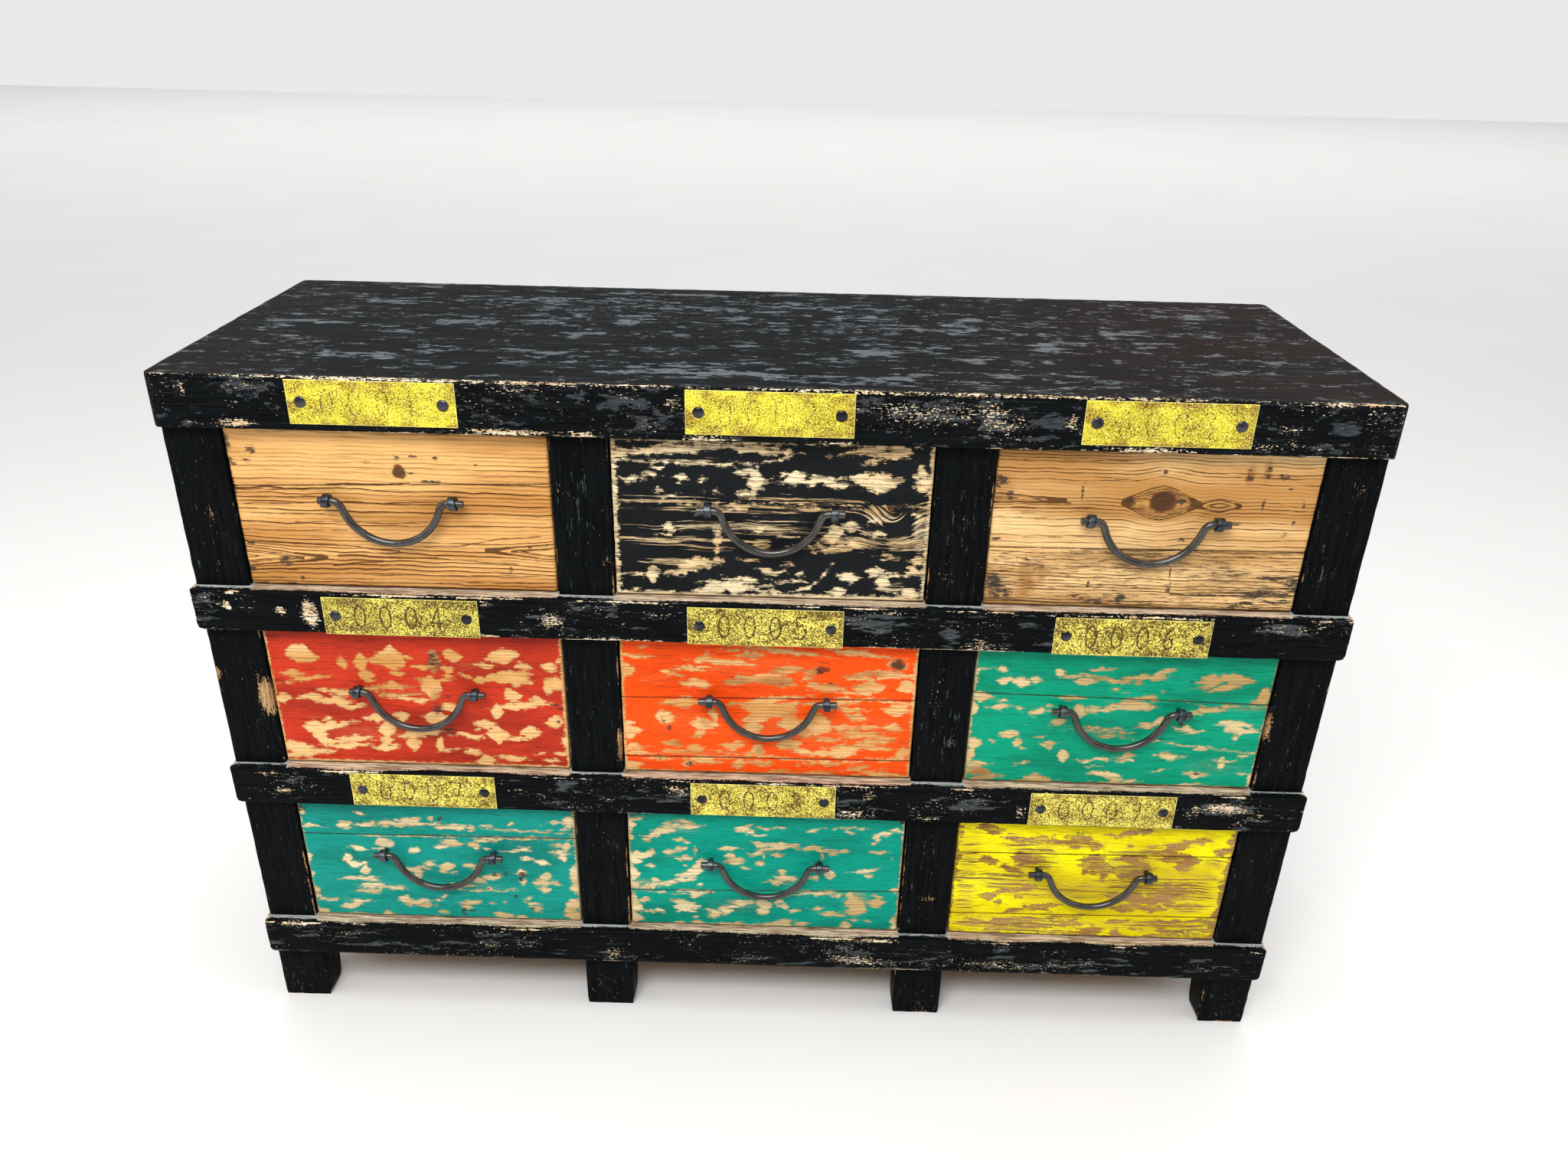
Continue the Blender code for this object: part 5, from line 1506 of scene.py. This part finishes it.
for drawer, (_, _, *turns) in stubs_and_turns.items():
    _, axis_y, axis_z = bail_axis(drawer)
    for side, turn in zip(("left", "right"), turns):
        node = drawer + "_eye_" + side
        low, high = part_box(node)
        middle_x = (low.x + high.x) / 2
        ring = own_copy(eye)
        points = points_of(ring)
        angle = radians(turn) * np.clip(1 - (points[:, 1] + 0.002) / 0.008, 0, 1)
        points[:, 0] += points[:, 2] * np.sin(angle)
        move_points(ring, points + np.array((middle_x, axis_y, axis_z)))
        shank = add_shank(middle_x, axis_y, axis_z, high.y)
        use_only(ring)
        shank.select_set(True)
        bpy.ops.object.join()
        dress(ring, node + "_band", eye_iron, drawer, "dark_iron", node)
bpy.data.objects.remove(eye)
print("eyes placed")

# %% [markdown]
# ## Number plates
#
# Above each drawer a thin yellow plate is nailed to the rail, speckled all over with dark pits, and
# with a worn row of dots that was once a number. The plates here count from 0001 to 0009. A digit is
# drawn as a line whose distance the mesh carries, and near it the speckle grows denser.

# %% Plate finish
def plate_finish(name, light, middle, stain, seed, speckle, dots):
    """Yellow metal under dark pits; the higher the speckle, the fewer pits."""
    finish = Finish(name, 0.42)
    digit, rim, rust = finish.parts(finish.attribute("wear"))
    grain = finish.noise((520, 520, 560), 4, 0.8, seed, 0.3)
    cloud = finish.noise((38, 38, 60), 3, 0.55, seed + 4)
    level = grain + (digit.span(1.6, 0.3, 0.0, dots) + cloud.sway(0.16))
    pit = level.span(speckle, speckle + 0.05)
    base = finish.mix(cloud.span(0.36, 0.62), light, middle)
    base = base.toward(stain, rust * cloud.span(0.42, 0.6))
    base = base.toward("FFF69C", grain.span(0.46, 0.36))
    base = base.toward("7E5C10", level.span(speckle - 0.07, speckle + 0.02, 0.0, 0.7))
    base = base.toward("3A2A0A", pit * 0.92)
    # A pale yellow line along the rim: a painted highlight, the glint of the plate's cut edge
    base = base.toward("F4EE86", rim.span(1.2, 0.4, 0.0, 0.5))
    finish.bump(-pit, 0.0004, 0.6)
    return finish.done(base)


# %% Digits as lines
digit_lines = {
    "0": ".5 0, .15 .15, 0 .5, .15 .85, .5 1, .85 .85, 1 .5, .85 .15, .5 0",
    "1": ".5 0, .5 1",
    "2": "0 .2, .3 0, .8 .05, .9 .35, .5 .65, 0 1, 1 .95",
    "3": "0 .1, .5 0, .9 .2, .5 .45, .95 .7, .5 1, 0 .9",
    "4": ".7 1, .7 0, 0 .7, 1 .7",
    "5": ".9 0, .1 0, .1 .4, .6 .38, .95 .68, .55 1, 0 .92",
    "6": ".8 0, .3 .3, .05 .7, .4 1, .85 .85, .8 .55, .4 .5, .1 .7",
    "7": "0 0, 1 0, .4 1",
    "8": ".5 0, .1 .2, .5 .47, .95 .75, .5 1, .05 .75, .5 .47, .9 .2, .5 0",
    "9": ".9 .3, .5 .5, .1 .3, .4 0, .85 .1, .9 .5, .5 1",
}
digit_width = 13
no_digit = 20.0


def digit_distance(across, down, text, width, height):
    """Millimetres to the nearest stroke of a row of digits."""
    field = np.full(across.shape, no_digit)
    for number, digit in enumerate(text):
        left = width * (0.20 + 0.165 * number)
        corners = numbers(digit_lines[digit])
        ends = [(left + digit_width * x, height * 0.2 + height * 0.6 * y) for x, y in corners]
        for start, end in zip(ends, ends[1:]):
            field = np.minimum(field, line_distance(across, down, start + end))
    return field


# %% [markdown]
# ## Placing plates and nails
#
# The plates aren't quite in line with the drawers below them, and each row was nailed at its own
# height. The nails are domes with hammered faces, one at each end.

# %% Make the plates
plate_width = 0.1815
plate_arris = 0.0003
plate_columns = 140
plate_rows = 40
plate_face = -0.2273
plate_back = -0.2266
nail_reach = 0.0765
# For each row: the middles, the lower and the upper edge, the tones, and the speckle and its dots
rows_of_plates = (
    ((-0.429, -0.003, 0.4216), 0.847, 0.8965, ("E4D634", "CCBC28", "8A5A1C"), 0.56, 0.06),
    ((-0.429, -0.0045, 0.421), 0.589, 0.6375, ("FAEA5E", "E8D446", "7A5614"), 0.495, 0.13),
    ((-0.431, -0.004, 0.4206), 0.342, 0.390, ("FAEA5E", "EAD646", "84601A"), 0.515, 0.09),
)
nail_places = []
count = 0
for middles, low_z, high_z, tones, speckle, dots in rows_of_plates:
    for middle_x in middles:
        count += 1
        low = (middle_x - plate_width / 2, plate_face, low_z)
        high = (middle_x + plate_width / 2, plate_back, high_z)
        plate = model_board("plate", low, high, plate_arris, plate_columns, plate_rows, 2)
        points = points_of(plate)
        across, down = (points[:, 0] - low[0]) * 1000, (high[2] - points[:, 2]) * 1000
        width, height = plate_width * 1000, (high_z - low_z) * 1000
        digits = digit_distance(across, down, "%04d" % count, width, height)
        rim = np.minimum.reduce([across, width - across, down, height - down])
        rust = np.clip(1 - rim / 14, 0, 1) * 0.8
        add_field(plate, "wear", digits, rim, rust)
        wave = 0.0003 * np.sin(across / 17 + count) * np.cos(down / 11)
        points[:, 1] += np.where(rim > 1, np.clip(wave, -0.0002, 0.0002), 0)
        move_points(plate, points)
        use_only(plate)
        bpy.ops.object.shade_smooth_by_angle(angle=radians(40))
        finish = plate_finish("plate_yellow_%d" % count, *tones, 3.0 * count, speckle, dots)
        dress(plate, "number_plate_%d" % count, finish, "carcass", "dark_iron")
        nail_places += [(middle_x + side * nail_reach, (low_z + high_z) / 2) for side in (-1, 1)]
print("plates made:", count)

# %% Make the dome nails
nail_radius = 0.0066
dome_flatness = 0.4
dent_depth = 0.0004
nail_turn = 1.3
hammer = bpy.data.textures.new("hammer", "CLOUDS")
hammer.noise_scale = 0.009
hammer.noise_depth = 1
bpy.ops.object.select_all(action="DESELECT")
bpy.ops.mesh.primitive_uv_sphere_add(segments=24, ring_count=16, radius=nail_radius, rotation=(pi / 2, 0, 0))
dome = bpy.context.object
bpy.ops.object.transform_apply(location=True, rotation=True, scale=True)
edit_all(dome)
bpy.ops.mesh.bisect(plane_co=(0, 0, 0), plane_no=(0, 1, 0), clear_outer=True, use_fill=True)
bpy.ops.object.mode_set(mode="OBJECT")
points = points_of(dome)
points[:, 1] *= dome_flatness
move_points(dome, points)
apply_modifier(dome, "DISPLACE", texture=hammer, strength=-dent_depth, mid_level=0.3)
bpy.ops.object.shade_smooth_by_angle(angle=radians(30))
for number, (x, z) in enumerate(nail_places):
    nail = own_copy(dome)
    turned = points_of(nail) @ np.array(Matrix.Rotation(number * nail_turn, 3, "Y"))
    move_points(nail, turned + (x, plate_face + 0.0001, z))
    dress(nail, "dome_nail_%02d" % (number + 1), nail_iron, "carcass", "dark_iron")
bpy.data.objects.remove(dome)
print("nails placed:", len(nail_places))

# %% [markdown]
# ## What stays as it is
#
# Boxes, partitions, sides and back keep their solids, because sawn boards are plain boxes. They only
# get wood or paint whose grain runs along each board.

# %% Finish the plain solids
def plain_pine(name, along, tones, period, seed):
    """Bare pine whose rings lie above each other."""
    finish = Finish(name, 0.62)
    height_in_millimetres = finish.parts(finish.place)[2] * 1000.0
    base, _, fibre = pine(finish, height_in_millimetres, period, tones, along, seed, 0.6)
    finish.bump(fibre, 0.0003, 0.3)
    return finish.done(base)


box_pine = plain_pine("box_pine", inward_grain, ("DDB788", "C99A66", "94653A"), 9.0, 50.0)
shelf_pine = plain_pine("shelf_pine", inward_grain, ("C9A070", "B28453", "7C5330"), 8.0, 54.0)
side_finish = black_frame("side_black", upright_grain, seed=58.0, scuffs=-0.01, edges=False, patchy=0.12,
                          bare_tones=dark_bare_tones, whole=0.05, ribs=0.1)


def assign(node, material):
    """Give a solid that stays a material of its own."""
    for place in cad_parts[node].material_slots:
        place.link = "OBJECT"
        place.material = material


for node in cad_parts:
    if node.endswith("_box"):
        assign(node, box_pine)
for node in ("partition_left", "partition_right", "bottom_board"):
    assign(node, shelf_pine)
for node in ("side_left", "side_right", "back_frame"):
    assign(node, side_finish)

# %% Back to object mode
to_object_mode()
